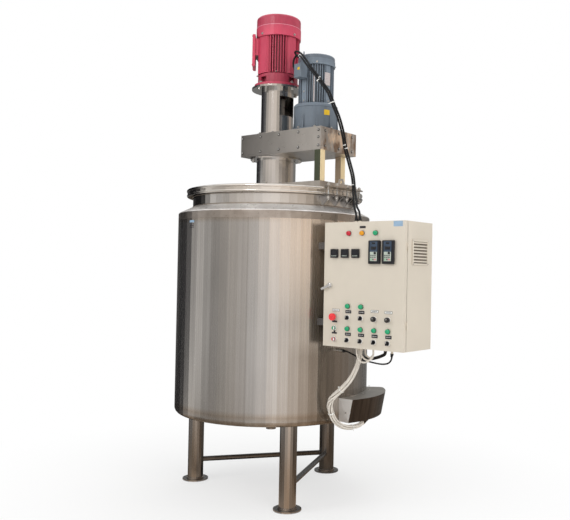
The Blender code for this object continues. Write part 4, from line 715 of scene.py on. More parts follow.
# The cables' routes, from the tank's axis, as the model's source lays them
ROUTES = {
    "gear_motor_cable": [
        (0.2712, -0.1321, 2.6361), (0.2614, -0.1311, 2.6460), (0.2507, -0.1319, 2.6628),
        (0.2481, -0.1347, 2.6825), (0.2541, -0.1393, 2.7015), (0.2674, -0.1457, 2.7162),
        (0.2857, -0.1536, 2.7238), (0.3060, -0.1618, 2.7229), (0.3289, -0.1722, 2.7141),
        (0.3617, -0.1856, 2.6911), (0.4008, -0.1865, 2.6439), (0.4538, -0.1825, 2.5839),
        (0.5058, -0.1705, 2.5169), (0.5408, -0.1525, 2.4599), (0.5619, -0.1295, 2.3859),
        (0.5749, -0.0945, 2.3139), (0.5729, -0.0495, 2.2319), (0.5669, -0.0125, 2.1469),
        (0.5898, 0.0075, 2.0410), (0.6038, 0.0155, 1.9810), (0.6138, 0.0145, 1.9270),
        (0.6228, 0.0055, 1.8840), (0.6382, -0.0065, 1.8440), (0.6562, -0.0265, 1.8090),
        (0.6812, -0.0535, 1.7760), (0.6965, -0.0640, 1.7553), (0.7080, -0.0722, 1.7293),
        (0.7120, -0.0750, 1.7073), (0.7120, -0.0750, 1.6973),
    ],
    "main_motor_cable": [
        (-0.1571, -0.0341, 2.8120), (-0.1754, -0.0130, 2.8120), (-0.1965, 0.0180, 2.8080),
        (-0.2050, 0.0550, 2.8010), (-0.1960, 0.0950, 2.7930), (-0.1680, 0.1320, 2.7830),
        (-0.1000, 0.1680, 2.7650), (-0.0050, 0.1880, 2.7490), (0.0900, 0.1680, 2.7430),
        (0.1550, 0.1100, 2.7450), (0.1860, 0.0300, 2.7530), (0.2050, -0.0500, 2.7610),
        (0.2420, -0.1140, 2.7630), (0.2980, -0.1520, 2.7500), (0.3520, -0.1670, 2.7140),
        (0.4132, -0.1775, 2.6499), (0.4662, -0.1735, 2.5899), (0.5182, -0.1615, 2.5229),
        (0.5532, -0.1435, 2.4659), (0.5743, -0.1205, 2.3919), (0.5873, -0.0855, 2.3199),
        (0.5853, -0.0405, 2.2379), (0.5793, -0.0035, 2.1529), (0.6022, 0.0165, 2.0470),
        (0.6162, 0.0245, 1.9870), (0.6262, 0.0235, 1.9330), (0.6352, 0.0145, 1.8900),
        (0.6506, 0.0025, 1.8500), (0.6686, -0.0175, 1.8150), (0.6936, -0.0445, 1.7820),
        (0.7225, -0.0640, 1.7553), (0.7340, -0.0722, 1.7293), (0.7380, -0.0750, 1.7073),
        (0.7380, -0.0750, 1.6973),
    ],
    "heater_loom": [
        (0.8350, -0.1850, 0.9527), (0.8350, -0.1850, 0.9387), (0.8320, -0.1870, 0.9087),
        (0.8200, -0.1940, 0.8607), (0.7880, -0.2050, 0.7897), (0.7370, -0.2150, 0.7297),
        (0.6740, -0.2250, 0.6720), (0.6530, -0.2200, 0.6330), (0.6480, -0.2070, 0.5900),
        (0.6530, -0.1900, 0.5500), (0.6630, -0.1650, 0.5180), (0.6740, -0.1330, 0.4970),
        (0.6820, -0.0950, 0.4840), (0.6870, -0.0550, 0.4780), (0.6890, -0.0150, 0.4770),
        (0.6900, 0.0150, 0.4795), (0.6900, 0.0358, 0.4851), (0.6900, 0.0485, 0.4910),
    ],
    "probe_cable": [
        (1.0600, -0.2000, 0.9527), (1.0600, -0.2000, 0.9387), (1.0540, -0.2000, 0.9167),
        (1.0390, -0.1990, 0.9007), (1.0160, -0.1960, 0.8927), (0.9750, -0.1900, 0.8887),
        (0.8887, -0.1685, 0.8920), (0.8137, -0.1435, 0.8990), (0.7437, -0.1225, 0.9160),
        (0.6833, -0.1082, 0.9300), (0.6537, -0.1035, 0.9300),
    ],
}
LOOM_STRANDS = 5
# Slack that hangs in short loops from holes in the cabinet's floor
SPARE_LOOPS = [
    [
        (0.862, -0.215, 0.975), (0.863, -0.215, 0.938), (0.876, -0.216, 0.920),
        (0.896, -0.217, 0.908), (0.920, -0.218, 0.907), (0.939, -0.217, 0.919),
        (0.945, -0.215, 0.938), (0.945, -0.215, 0.975),
    ],
    [
        (0.874, -0.190, 0.975), (0.875, -0.190, 0.942), (0.885, -0.191, 0.927),
        (0.903, -0.192, 0.918), (0.920, -0.192, 0.925), (0.928, -0.190, 0.941),
        (0.928, -0.190, 0.975),
    ],
    [
        (0.845, -0.235, 0.975), (0.847, -0.235, 0.939), (0.857, -0.236, 0.915),
        (0.876, -0.238, 0.898), (0.902, -0.239, 0.894), (0.926, -0.238, 0.903),
        (0.948, -0.236, 0.920), (0.959, -0.235, 0.938), (0.960, -0.235, 0.975),
    ],
    [
        (0.812, -0.155, 0.975), (0.813, -0.155, 0.937), (0.826, -0.156, 0.918),
        (0.856, -0.158, 0.907), (0.896, -0.160, 0.909), (0.936, -0.160, 0.919),
        (0.966, -0.158, 0.931), (0.984, -0.156, 0.943), (0.988, -0.155, 0.975),
    ],
]


def route(name, spacing):
    return smooth_route([site(*p) for p in ROUTES[name]], spacing)


def drawn_in(points):
    """The main motor's cable where ties draw it 3 mm in, against the gear motor's cable."""
    pull = Vector((-0.0026, -0.0018, -0.0012))
    first_tie, last_tie, ease = 0.44, 0.93, 0.06
    made = []
    for i, point in enumerate(points):
        share = i / (len(points) - 1)
        strength = min((share - first_tie) / ease, 1.0, (last_tie - share) / ease)
        made.append(point + pull * max(0.0, strength))
    return made


def bundle_swell(share):
    """How far the heater's bundle bulges between its tied ends."""
    return 0.004 * math.sin(math.pi * share) ** 2


def loom_strand(points, turn_start, turns):
    """One cable of the bundle: it winds slowly round the bundle's line and bulges off its ties."""
    made = []
    last = len(points) - 1
    for i, point in enumerate(points):
        ahead = points[min(i + 1, last)] - points[max(i - 1, 0)]
        side = ahead.cross(Vector((0.3, 0.2, 1.0))).normalized()
        other = ahead.cross(side).normalized()
        turn = turn_start + turns * 2 * math.pi * i / last
        offset = 0.0088 + bundle_swell(i / last)
        made.append(point + (side * math.cos(turn) + other * math.sin(turn)) * offset)
    return made


def cable_tie(shape, points, share, radius):
    """Adds a nylon tie round a cable, a share of the way along, with its locking head and tail."""
    index = int(len(points) * share)
    at = facing(points[index], (points[index + 1] - points[index - 1]).normalized())
    hoop(shape, radius, 0.0048, 0.0014, at, 24)
    slab(shape, (0.007, 0.006, 0.007), at @ Matrix.Translation((radius + 0.003, 0, 0.002)), 0.0008)
    slab(shape, (0.0015, 0.016, 0.0035), at @ Matrix.Translation((radius + 0.004, 0.009, 0.002)))


def strain_relief(shape, points, radius, length):
    """Adds the ribbed, tapered sleeve that a cable leaves its gland through."""
    profile = []
    steps = 8
    for i in range(steps + 1):
        share = i / steps
        rib = 0.0012 if i % 2 else 0.0
        profile.append((radius + 0.0042 * (1 - share) + 0.0006 + rib, length * share))
    lathe(shape, profile, facing(points[0], (points[3] - points[0]).normalized()), 20)


class MIXTANK_OT_camera(bpy.types.Operator):
    """Places the camera where the photograph was taken from"""

    bl_idname = "mixtank.camera"
    bl_label = "Camera"

    def execute(self, context):
        turn, pitch, roll = math.radians(36.78), 0.0162, 0.0186
        image_width, focal_pixels, aside_pixels = 570, 748.5074, -60
        flat, rise = math.cos(pitch), math.sin(pitch)
        ahead = Vector((-math.sin(turn) * flat, math.cos(turn) * flat, rise))
        right = Vector((math.cos(turn), math.sin(turn), 0))
        above = right.cross(ahead)
        level, over = math.cos(roll), math.sin(roll)
        rows = (right * level + above * over, above * level - right * over, -ahead)
        turned = Matrix(rows).transposed().to_4x4()
        camera = bpy.data.objects.new("Photo camera", bpy.data.cameras.new("Photo camera"))
        camera.data.sensor_width = 36.0
        camera.data.lens = focal_pixels / image_width * camera.data.sensor_width
        camera.data.shift_x = aside_pixels / image_width
        eye = site(3.3019, -3.6448, 1.3946)
        camera.matrix_world = Matrix.Translation(eye) @ turned
        context.scene.collection.objects.link(camera)
        context.scene.camera = camera
        return {"FINISHED"}


class MIXTANK_OT_cables(bpy.types.Operator):
    """Runs the motors' and probe's cables, the heater's bundle, the spare loops and their ties"""

    bl_idname = "mixtank.cables"
    bl_label = "Cables"

    def execute(self, context):
        radius = context.scene.tank_detail.cable_diameter / 2
        probe_radius, strand_radius = 0.0045, 0.0052
        black = ("black_sheath", "black_cable_sheath")
        pale = ("pale_sheath", "pale_cable_sheath")
        gear = route("gear_motor_cable", 0.012)
        main = drawn_in(route("main_motor_cable", 0.012))
        probe, bundle = route("probe_cable", 0.01), route("heater_loom", 0.01)
        sleeves, ties = shapes(2)
        for name, line, thick, first, last in (
            ("gear_motor_cable", gear, radius, 0.022, 0.026),
            ("main_motor_cable", main, radius, 0.022, 0.026),
            ("probe_cable", probe, probe_radius, 0.02, 0.02),
        ):
            cable(name + "_run", line, thick, *black, name, "stiff")
            strain_relief(sleeves, line, thick, first)
            strain_relief(sleeves, line[::-1], thick, last)
        piece("cable_sleeves", sleeves, *black)
        for i in range(LOOM_STRANDS):
            strand = loom_strand(bundle, 2 * math.pi / LOOM_STRANDS * i, 0.3)
            cable(f"heater_cable_{i + 1}", strand, strand_radius, *pale, "heater_loom")
        for i, points in enumerate(SPARE_LOOPS):
            loop = smooth_route([site(*p) for p in points], 0.006)
            thick, look = (0.0090, black) if points is SPARE_LOOPS[-1] else (0.0047, pale)
            cable(f"spare_loop_{i + 1}", loop, thick, *look)
        for line, shares in ((gear, (0.13, 0.3, 0.42, 0.62, 0.8)), (main, (0.53, 0.61, 0.75))):
            for share in shares:
                cable_tie(ties, line, share, radius + 0.0004)
        for share in (0.36, 0.6, 0.86):
            cable_tie(ties, bundle, share, 0.0145 + bundle_swell(share))
        piece("cable_ties", ties, "white_tie", "pale_cable_sheath")
        return {"FINISHED"}


class MIXTANK_OT_vessel(bpy.types.Operator):
    """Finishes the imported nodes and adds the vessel's welds, rim rolls and label"""

    bl_idname = "mixtank.vessel"
    bl_label = "Vessel and welds"

    def execute(self, context):
        width = context.scene.tank_detail.weld_width
        dress_nodes()
        beads, rolls, feet, plate, lines = shapes(5)
        bead(beads, NECK_R, SHOULDER_TOP + 0.0015, width, 0.003)
        bead(beads, NECK_R, RIM_LOW - 0.001, width * 0.8, 0.003)
        piece("vessel_welds", beads, "weld_bead", "brushed_stainless")
        bead(rolls, RIM_R, RIM_TOP - 0.0085, 0.016, 0.0045, 0.0)
        bead(rolls, RIM_R, RIM_LOW + 0.0075, 0.013, 0.0035, 0.0)
        piece("rim_rolls", rolls, "rim_bar", "polished_stainless", angle=60)
        for node in ("leg_left", "leg_front", "leg_rear"):
            place = Vector((*middle(node).xy, 0.010))
            hoop(feet, 0.0505, 0.006, 0.006, Matrix.Translation(place), 40)
        piece("foot_welds", feet, "weld_bead", "stainless_pipe")
        face = (site(0, 0, 0), JACKET_R + 0.0002)
        curved_plate(plate, *face, (-13.5, -9.0), (1.676, 1.689), 0.0006)
        piece("jacket_label", plate, "blue_label", "black_plastic")
        for z in (1.664, 1.654, 1.645):
            curved_plate(lines, *face, (-13.3, -9.2), (z, z + 0.004), 0.0006)
        piece("jacket_label_lines", lines, "black_label", "black_plastic")
        return {"FINISHED"}


def bolt_circle(shape, centre, radius, height, count, across, start, out=UP):
    for i in range(count):
        place = centre + heading(start + 360 / count * i) * radius + up(height)
        hexagon(shape, facing(place, out), across, across * 0.6, across * 0.78, across * 0.12)


def stud(shape, place, bottom, top, nut):
    """Adds a threaded stud through two plates, with a nut and washer on each."""
    for z, out in ((bottom, DOWN), (top, UP)):
        hexagon(shape, facing(place + up(z), out), nut, nut * 0.7, nut * 0.68, 0.002)
    radius, pitch = nut * 0.26, 0.003
    foot, head = bottom - nut * 1.35, top + nut * 1.2
    steps = 2 * int((head - foot) / pitch)
    thread = [(radius * (1.0 if i % 2 else 0.86), foot + pitch * i / 2) for i in range(steps)]
    lathe(shape, thread, Matrix.Translation(place), 12)


class MIXTANK_OT_bridge(bpy.types.Operator):
    """Adds the studs that clamp the drive bridge to the rim"""

    bl_idname = "mixtank.bridge"
    bl_label = "Bridge studs"

    def execute(self, context):
        nut = context.scene.tank_detail.nut_across
        studs = bmesh.new()
        for side in (90, -90):
            for turn in (-15.5, -9.0, 0.0, 9.0, 15.5):
                place = site(0, 0, 0) + heading(side + turn) * 0.5825
                stud(studs, place, RIM_LOW - 0.0085, RIM_TOP + 0.0083, nut)
        piece("bridge_studs", studs, "zinc", "zinc_plate")
        return {"FINISHED"}


class MIXTANK_OT_drive(bpy.types.Operator):
    """Adds the column flanges' bolts and the belt box's screws"""

    bl_idname = "mixtank.drive"
    bl_label = "Drive columns and belt box"

    def execute(self, context):
        rings, screws, washers, lids = shapes(4)
        for radius, height, count, across, start, out in (
            (0.138, BRIDGE_TOP + 0.010, 8, 0.016, 12, UP),
            (0.150, high("lower_column").z - 0.012, 2, 0.016, -52, DOWN),
            (0.128, low("upper_column").z + 0.012, 8, 0.013, 30, UP),
            (0.150, high("upper_column").z - 0.012, 4, 0.019, -9, DOWN),
        ):
            bolt_circle(rings, site(0, 0, 0), radius, height, count, across, start, out)
        piece("column_bolts", rings, "zinc", "zinc_plate")
        across = context.scene.tank_detail.guard_screw
        washer = [(across * 0.72, 0), (across * 0.72, 0.0012), (0, 0.0012)]
        dome = [(across * 0.44, 0), (across * 0.42, 0.0028), (across * 0.25, 0.0046), (0, 0.005)]
        heights, last_x = (2.1505, 2.243), 0.495
        along = [(x, z) for z in heights for x in (-0.134, 0.023, 0.178, 0.337, last_x)]
        places = []
        for y, out in ((BOX_LOW.y, FRONT), (BOX_HIGH.y, BACK)):
            places += [(site(x, y, z), out) for x, z in [*along, (last_x, 2.2)]]
        for x, out in ((BOX_HIGH.x, RIGHT), (BOX_LOW.x, LEFT)):
            places += [(Vector((x, y, z)), out) for z in heights for y in (-0.1345, 0.0, 0.1345)]
        for place, out in places:
            lathe(washers, washer, facing(place, out), 20)
            lathe(screws, dome, facing(place, out) @ Matrix.Translation(up(0.0010)), 16)
        piece("guard_screws", screws, "zinc", "zinc_plate")
        piece("guard_washers", washers, "black_gasket", "black_plastic")
        for x in (-0.12, 0.17, 0.49):
            for y in (-0.152, 0.152):
                at = facing(site(x, y, BOX_HIGH.z), UP)
                hexagon(lids, at, across, 0.005, across * 0.75, 0.0012)
        piece("lid_screws", lids, "zinc", "zinc_plate")
        return {"FINISHED"}


def cowl_seam(name, finish, slot, axis, radius, height, width, thick, sides):
    """The rolled seam round a fan's cowl."""
    shape = bmesh.new()
    hoop(shape, radius - 0.0022, width, thick, Matrix.Translation(axis + up(height)), sides)
    piece(name, shape, finish, slot)


def cowl_grille(name, finish, axis, top, count, first, pitch, crown, reach, wire, thick, sides):
    """Rings of wire over a fan's cowl, sunk as its crown falls away towards its reach."""
    shape = bmesh.new()
    for i in range(count):
        radius = first + pitch * i
        height = top - crown * (radius / reach) ** 2 - wire
        hoop(shape, radius, wire, thick, Matrix.Translation(axis + up(height)), sides)
    piece(name, shape, finish, finish)


def box_lid(name, finish, slot, centre, azimuth, size, corner, lift, screw):
    """A terminal box's lid, with a pan screw at each corner."""
    shape = bmesh.new()
    out, across = heading(azimuth), heading(azimuth + 90)
    slab(shape, size, upright(centre, out), 0.001)
    for x in (-corner[0], corner[0]):
        for z in (-corner[1], corner[1]):
            place = centre + out * lift + across * x + up(z)
            pan_screw(shape, facing(place, out), screw)
    piece(name, shape, finish, slot)


def cable_gland(name, line, lift, across, height):
    """The hexagon nut that a motor's cable leaves its terminal box through."""
    first, second = [site(*point) for point in ROUTES[line][:2]]
    way = (first - second).normalized()
    shape = bmesh.new()
    hexagon(shape, facing(first + way * lift, way), across, height)
    piece(name, shape, "black_abs", "black_plastic")


class MIXTANK_OT_main_motor(bpy.types.Operator):
    """Adds the main motor's bolts, seam, grille, box lid and gland"""

    bl_idname = "mixtank.main_motor"
    bl_label = "Main motor"

    def execute(self, context):
        axis = site(0, 0, 0)
        bolts = bmesh.new()
        bolt_circle(bolts, axis, 0.1405, BELL_LOW + 0.020, 4, 0.017, -9)
        for turn in (-4, 86, 176, 266):
            place = axis + heading(turn) * COWL_R + up(COWL_FOOT + 0.013)
            hexagon(bolts, facing(place, heading(turn)), 0.010, 0.005, 0.008, 0.0012)
            lug = axis + heading(turn + 41) * 0.134 + up(BELL_HIGH + 0.0003)
            hexagon(bolts, facing(lug, UP), 0.011, 0.006, 0.0075, 0.001)
        piece("main_motor_bolts", bolts, "zinc", "zinc_plate")
        side = -49
        centre = axis + heading(side) * 0.1665 + up(2.821)
        box_lid(
            "main_box_lid", "shaded_red_enamel", "red_enamel", centre, side,
            size=(0.100, 0.192, 0.003), corner=(0.055, 0.094), lift=0.0007, screw=0.005,
        )
        # The seam's paler red is a painted highlight.
        cowl_seam(
            "main_cowl_seam", "red_seam_highlight", "red_enamel", axis,
            radius=COWL_R, height=2.9705, width=0.0035, thick=0.0018, sides=96,
        )
        cowl_grille(
            "main_cowl_grille", "red_enamel", axis, COWL_TOP, count=8, first=0.020,
            pitch=0.0115, crown=0.022, reach=0.125, wire=0.0045, thick=0.0028, sides=48,
        )
        size = {"lift": 0.002, "across": 0.024, "height": 0.009}
        cable_gland("main_cable_gland", "main_motor_cable", **size)
        return {"FINISHED"}


class MIXTANK_OT_gear_motor(bpy.types.Operator):
    """Adds the gear unit's bolts, plates, eye, seam, grille, box lid and gland"""

    bl_idname = "mixtank.gear_motor"
    bl_label = "Gear motor"

    def execute(self, context):
        paint = ("grey_enamel", "grey_enamel")
        axis = site(GEAR_X, 0, 0)
        bolts, eye, rivets, sign = shapes(4)
        bolt_circle(bolts, axis, 0.1435, BOX_HIGH.z + 0.014, 8, 0.013, -8)
        for turn in (40, 130, 220, 310):
            place = axis + heading(turn) * GEAR_COWL_R + up(GEAR_COWL_FOOT + 0.011)
            hexagon(bolts, facing(place, heading(turn)), 0.008, 0.004, 0.006, 0.001)
        for turn in (-6, 84, 174, 264):
            for z in (GEAR_FRAME_FOOT + 0.018, GEAR_FRAME_FOOT + 0.075):
                place = axis + heading(turn) * 0.1062 + up(z)
                pan_screw(bolts, facing(place, heading(turn)), 0.006)
        piece("gear_unit_bolts", bolts, "zinc", "zinc_plate")
        place = axis + heading(-36) * 0.083 + up(GEAR_COWL_TOP - 0.016)
        shank = [(0.011, 0), (0.011, 0.004), (0.006, 0.007), (0.0055, 0.014)]
        lathe(eye, shank, Matrix.Translation(place), 20)
        torus(eye, 0.010, 0.003, facing(place + up(0.022), heading(124)))
        piece("gear_motor_eye", eye, *paint, angle=60)
        for name, finish, slot, radius, azimuths, heights, thick, steps in (
            ("gear_motor_plate", "nameplate", "brushed_stainless",
             0.1113, (67, 89), (2.549, 2.628), 0.0012, 10),
            ("gear_housing_label", "yellow_label", "grey_enamel",
             0.1384, (61, 77), (2.358, 2.390), 0.0006, 10),
            ("gear_frame_strip", "nameplate", "brushed_stainless",
             0.1112, (30.9, 33.9), (2.440, 2.604), 0.0010, 3),
        ):
            plate = bmesh.new()
            curved_plate(plate, axis, radius, azimuths, heights, thick, steps)
            piece(name, plate, finish, slot)
        for turn in (68.5, 87.5):
            for z in (2.554, 2.623):
                place = axis + heading(turn) * 0.1125 + up(z)
                pan_screw(rivets, facing(place, heading(turn)), 0.0022)
        piece("plate_rivets", rivets, "zinc", "zinc_plate")
        cowl_seam(
            "gear_cowl_seam", *paint, axis,
            radius=GEAR_COWL_R, height=GEAR_COWL_FOOT + 0.0345, width=0.003, thick=0.0014, sides=80,
        )
        cowl_grille(
            "gear_cowl_grille", paint[0], axis, GEAR_COWL_TOP, count=6, first=0.018,
            pitch=0.0105, crown=0.020, reach=0.105, wire=0.004, thick=0.0025, sides=40,
        )
        side = -6
        out = heading(side)
        centre = axis + out * 0.1660 + up(middle("gear_motor_box").z)
        box_lid(
            "gear_box_lid", *paint, centre, side,
            size=(0.056, 0.080, 0.0024), corner=(0.022, 0.034), lift=0.001, screw=0.0035,
        )
        at = upright(centre + out * 0.0013 + heading(side + 90) * 0.012 + up(0.010), out)
        slab(sign, (0.018, 0.016, 0.0008), at)
        piece("gear_box_plate", sign, "yellow_label", "grey_enamel")
        size = {"lift": 0.001, "across": 0.023, "height": 0.008}
        cable_gland("gear_cable_gland", "gear_motor_cable", **size)
        return {"FINISHED"}


def on_door(x, z, out=0.0):
    """A place on the door's face, from its left edge and foot."""
    return Vector((CABINET_LEFT + x, DOOR_FACE - out, DOOR_FOOT + z))


def door_facing(x, z, out=0.0):
    return facing(on_door(x, z, out), FRONT)


def front_of(node):
    """The middle of the front face of a control's node."""
    return Vector((middle(node).x, low(node).y, middle(node).z))


def door_plate(shape, x, z, wide, tall, thick, out=0.0, edge=0.0):
    """Adds an upright plate on the door, its back at a distance out from the door's face."""
    slab(shape, (wide, thick, tall), Matrix.Translation(on_door(x, z, out + thick / 2)), edge)


COLUMNS = (0.1731, 0.2631, 0.3531, 0.4431)
LOW_ROW, LOW_LAMPS, HIGH_ROW, HIGH_LAMPS, TOP_LAMPS = 0.042, 0.105, 0.167, 0.230, 0.636
METERS_X, METER_Z = (0.0750, 0.1480, 0.2210), 0.524
KEYPADS_X, KEYPAD_Z = (0.3512, 0.4420), 0.531
LEFT_COLUMN = 0.081
PALE_PLATES = ((LEFT_COLUMN + 0.008, 0.205), (COLUMNS[2], 0.209), (COLUMNS[3], 0.207))
SWITCHES = [(x, HIGH_ROW) for x in COLUMNS[:2]] + [(x, LOW_ROW) for x in COLUMNS]
GREEN_LAMPS = [(x, HIGH_LAMPS) for x in COLUMNS[:2]] + [(x, LOW_LAMPS) for x in COLUMNS]
LAMPS = {
    "red": [(COLUMNS[0], TOP_LAMPS)],
    "amber": [(COLUMNS[1], TOP_LAMPS)],
    "green": [*GREEN_LAMPS, (COLUMNS[2], TOP_LAMPS)],
}


class MIXTANK_OT_cabinet(bpy.types.Operator):
    """Fits the cabinet's corner label, louvre with its screws, and door seal"""

    bl_idname = "mixtank.cabinet"
    bl_label = "Cabinet"

    def louvre(self, low_corner, high_corner):
        screws, blades, back = shapes(3)
        centre = (low_corner + high_corner) / 2
        deep, wide, tall = high_corner - low_corner
        rail, inset, count = 0.010, 0.006, 7
        place = Vector((low_corner.x + 0.0006, centre.y, centre.z))
        slab(back, (0.0008, wide - 0.004, tall - 0.004), Matrix.Translation(place))
        for y in (low_corner.y + rail / 2, high_corner.y - rail / 2):
            at = Matrix.Translation((centre.x, y, centre.z))
            slab(blades, (deep, rail, tall), at, 0.0015)
        for z in (low_corner.z + rail / 2, high_corner.z - rail / 2):
            at = Matrix.Translation((centre.x - 0.0002, centre.y, z))
            slab(blades, (deep - 0.0004, wide - 2 * rail, rail), at, 0.0015)
        pitch = (tall - 2 * rail) / count
        tilt = Matrix.Rotation(math.radians(-32), 4, "Y")
        for i in range(count):
            z = low_corner.z + rail + pitch * (i + 0.62)
            at = Matrix.Translation((centre.x, centre.y, z)) @ tilt
            slab(blades, (0.0012, wide - 2 * rail, pitch * 0.56), at)
        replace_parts(piece("louvre_blades", blades, "powder_coat", "beige_powder_coat"), "side_louvre")
        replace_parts(piece("louvre_back", back, "louvre_shade", "beige_powder_coat"), "side_louvre")
        for y in (low_corner.y + inset, high_corner.y - inset):
            for z in (low_corner.z + inset, high_corner.z - inset):
                pan_screw(screws, facing(Vector((high_corner.x - 0.0002, y, z)), RIGHT), 0.0035)
        piece("louvre_screws", screws, "zinc", "zinc_plate")

    def execute(self, context):
        label, seal = shapes(2)
        door_plate(label, 0.4955, 0.6835, 0.058, 0.029, 0.0006)
        piece("door_corner_label", label, "blue_label", "black_plastic", DOOR)
        self.louvre(*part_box("side_louvre"))
        left, right = CABINET_LEFT + 0.010, CABINET_RIGHT - 0.020
        foot, head = DOOR_FOOT + 0.010, DOOR_HEAD - 0.010
        wide, thick, y = 0.008, 0.0018, low("cabinet_body").y - 0.0012
        for x0, x1, z0, z1 in (
            (left, right, foot, foot + wide),
            (left, right, head - wide, head),
            (left, left + wide, foot + wide, head - wide),
            (right - wide, right, foot + wide, head - wide),
        ):
            at = Matrix.Translation(((x0 + x1) / 2, y, (z0 + z1) / 2))
            slab(seal, (x1 - x0, thick, z1 - z0), at)
        piece("door_seal", seal, "black_gasket", "black_plastic")
        return {"FINISHED"}


class MIXTANK_OT_controls(bpy.types.Operator):
    """Fits the pilot lamps, legend plates, selector rings, knobs and buttons"""

    bl_idname = "mixtank.controls"
    bl_label = "Door controls"

    def halves(self):
        """A white half disc in a dark edge on each push button's right half: a painted highlight."""
        for name in ("start_button", "stop_button"):
            clear, edge = shapes(2)
            at = upright(front_of(name) + RIGHT * 0.0005 + BACK * 0.0002, FRONT)
            half_disc(edge, at, 0.0109, 0.0008)
            half_disc(clear, at, 0.0094, 0.0014)
            piece(name + "_edge", edge, "black_abs", "black_plastic", name)
            # The white half disc is a painted highlight.
            piece(name + "_clear", clear, "white_inlay", "zinc_plate", name)

    def lamps(self, radius):
        bezels = bmesh.new()
        dome = [(radius, 0.0035), (radius, 0.0118), (radius * 0.95, 0.0146)]
        dome += [(radius * 0.8, 0.0168), (radius * 0.5, 0.0181), (0, 0.0186)]
        for colour, places in LAMPS.items():
            lenses = bmesh.new()
            for x, z in places:
                lathe(lenses, dome, door_facing(x, z), 28)
                hoop(bezels, radius - 0.0004, 0.0045, 0.0018, door_facing(x, z), 28)
            slot = "green_plastic" if colour == "green" else "red_plastic"
            piece("lamps_" + colour, lenses, colour + "_lens", slot, DOOR)
        piece("lamp_bezels", bezels, "dark_steel", "zinc_plate", DOOR)

    def legends(self):
        black, pale, lines, marks = shapes(4)
        thick, engraved, above = 0.0012, 0.0003, 0.0325
        plates = [(x + 0.003, z + above, 0.040, 0.0175) for x, z in SWITCHES]
        for z in (0.1405, 0.0765):
            plates += [(LEFT_COLUMN, z, 0.036, 0.009), (LEFT_COLUMN, z + 0.0095, 0.012, 0.010)]
        plates.append((COLUMNS[1] + 0.001, TOP_LAMPS + 0.0335, 0.040, 0.012))
        for plate in plates:
            door_plate(black, *plate, thick, edge=0.0003)
        for x, z in SWITCHES:
            for i, wide in enumerate((0.007, 0.004, 0.006)):
                door_plate(lines, x - 0.006 + 0.009 * i, z + above, wide, 0.0024, engraved, thick)
        for x, z in PALE_PLATES:
            door_plate(black, x, z, 0.050, 0.0145, 0.0006, edge=0.0002)
            door_plate(pale, x, z, 0.046, 0.0105, 0.0014, edge=0.0003)
            for i in range(5):
                door_plate(marks, x - 0.014 + 0.007 * i, z, 0.005, 0.0034, engraved, 0.0014)
        piece("legend_plates", black, "black_label", "black_plastic", DOOR)
        piece("pale_plates", pale, "white_inlay", "brushed_stainless", DOOR)
        piece("legend_lines", lines, "white_inlay", "pale_cable_sheath", DOOR)
        piece("plate_marks", marks, "black_label", "black_plastic", DOOR)

    def rings(self):
        rings, collar = shapes(2)
        for places, radius, width, thick in (
            (SWITCHES, 0.0122, 0.0065, 0.0026),
            ([(x, HIGH_ROW) for x in COLUMNS[2:]], 0.0132, 0.005, 0.0020),
            ([(0.0830, z) for z in (LOW_LAMPS, LOW_ROW)], 0.0113, 0.0075, 0.0030),
        ):
            for x, z in places:
                hoop(rings, radius, width, thick, door_facing(x, z), 32)
        piece("control_rings", rings, "satin_ring", "zinc_plate", DOOR)
        hoop(collar, 0.0125, 0.0055, 0.0075, door_facing(0.0790, HIGH_ROW), 32)
        piece("stop_collar", collar, "pale_label", "brushed_stainless", DOOR)

    def pointers(self):
        for name in SELECTORS:
            mark = bmesh.new()
            at = Matrix.Translation(front_of(name) + FRONT * 0.0002 + up(0.0055))
            slab(mark, (0.0018, 0.0006, 0.0085), at)
            piece(name + "_mark", mark, "white_inlay", "pale_cable_sheath", name)
        for name in KNOBS:
            face = front_of(name)
            cap, line, grips = shapes(3)
            rim = [(0.0098, 0), (0.0098, 0.0008), (0.0088, 0.0012), (0, 0.0012)]
            lathe(cap, rim, facing(face + BACK * 0.0002, FRONT), 28)
            piece(name + "_cap", cap, "dark_steel", "zinc_plate", name)
            at = Matrix.Translation(face + FRONT * 0.0012 + up(0.0045))
            slab(line, (0.0016, 0.0006, 0.009), at)
            piece(name + "_line", line, "white_inlay", "black_plastic", name)
            for turn in circle(20):
                way = Vector((turn.x, 0, turn.y)) * 0.0129
                at = Matrix.Translation(face + BACK * 0.008 + way)
                slab(grips, (0.0014, 0.013, 0.0014), at)
            piece(name + "_grips", grips, "black_abs", "black_plastic", name)

    def execute(self, context):
        self.halves()
        self.lamps(context.scene.tank_detail.lamp_diameter / 2)
        self.legends()
        self.rings()
        self.pointers()
        return {"FINISHED"}


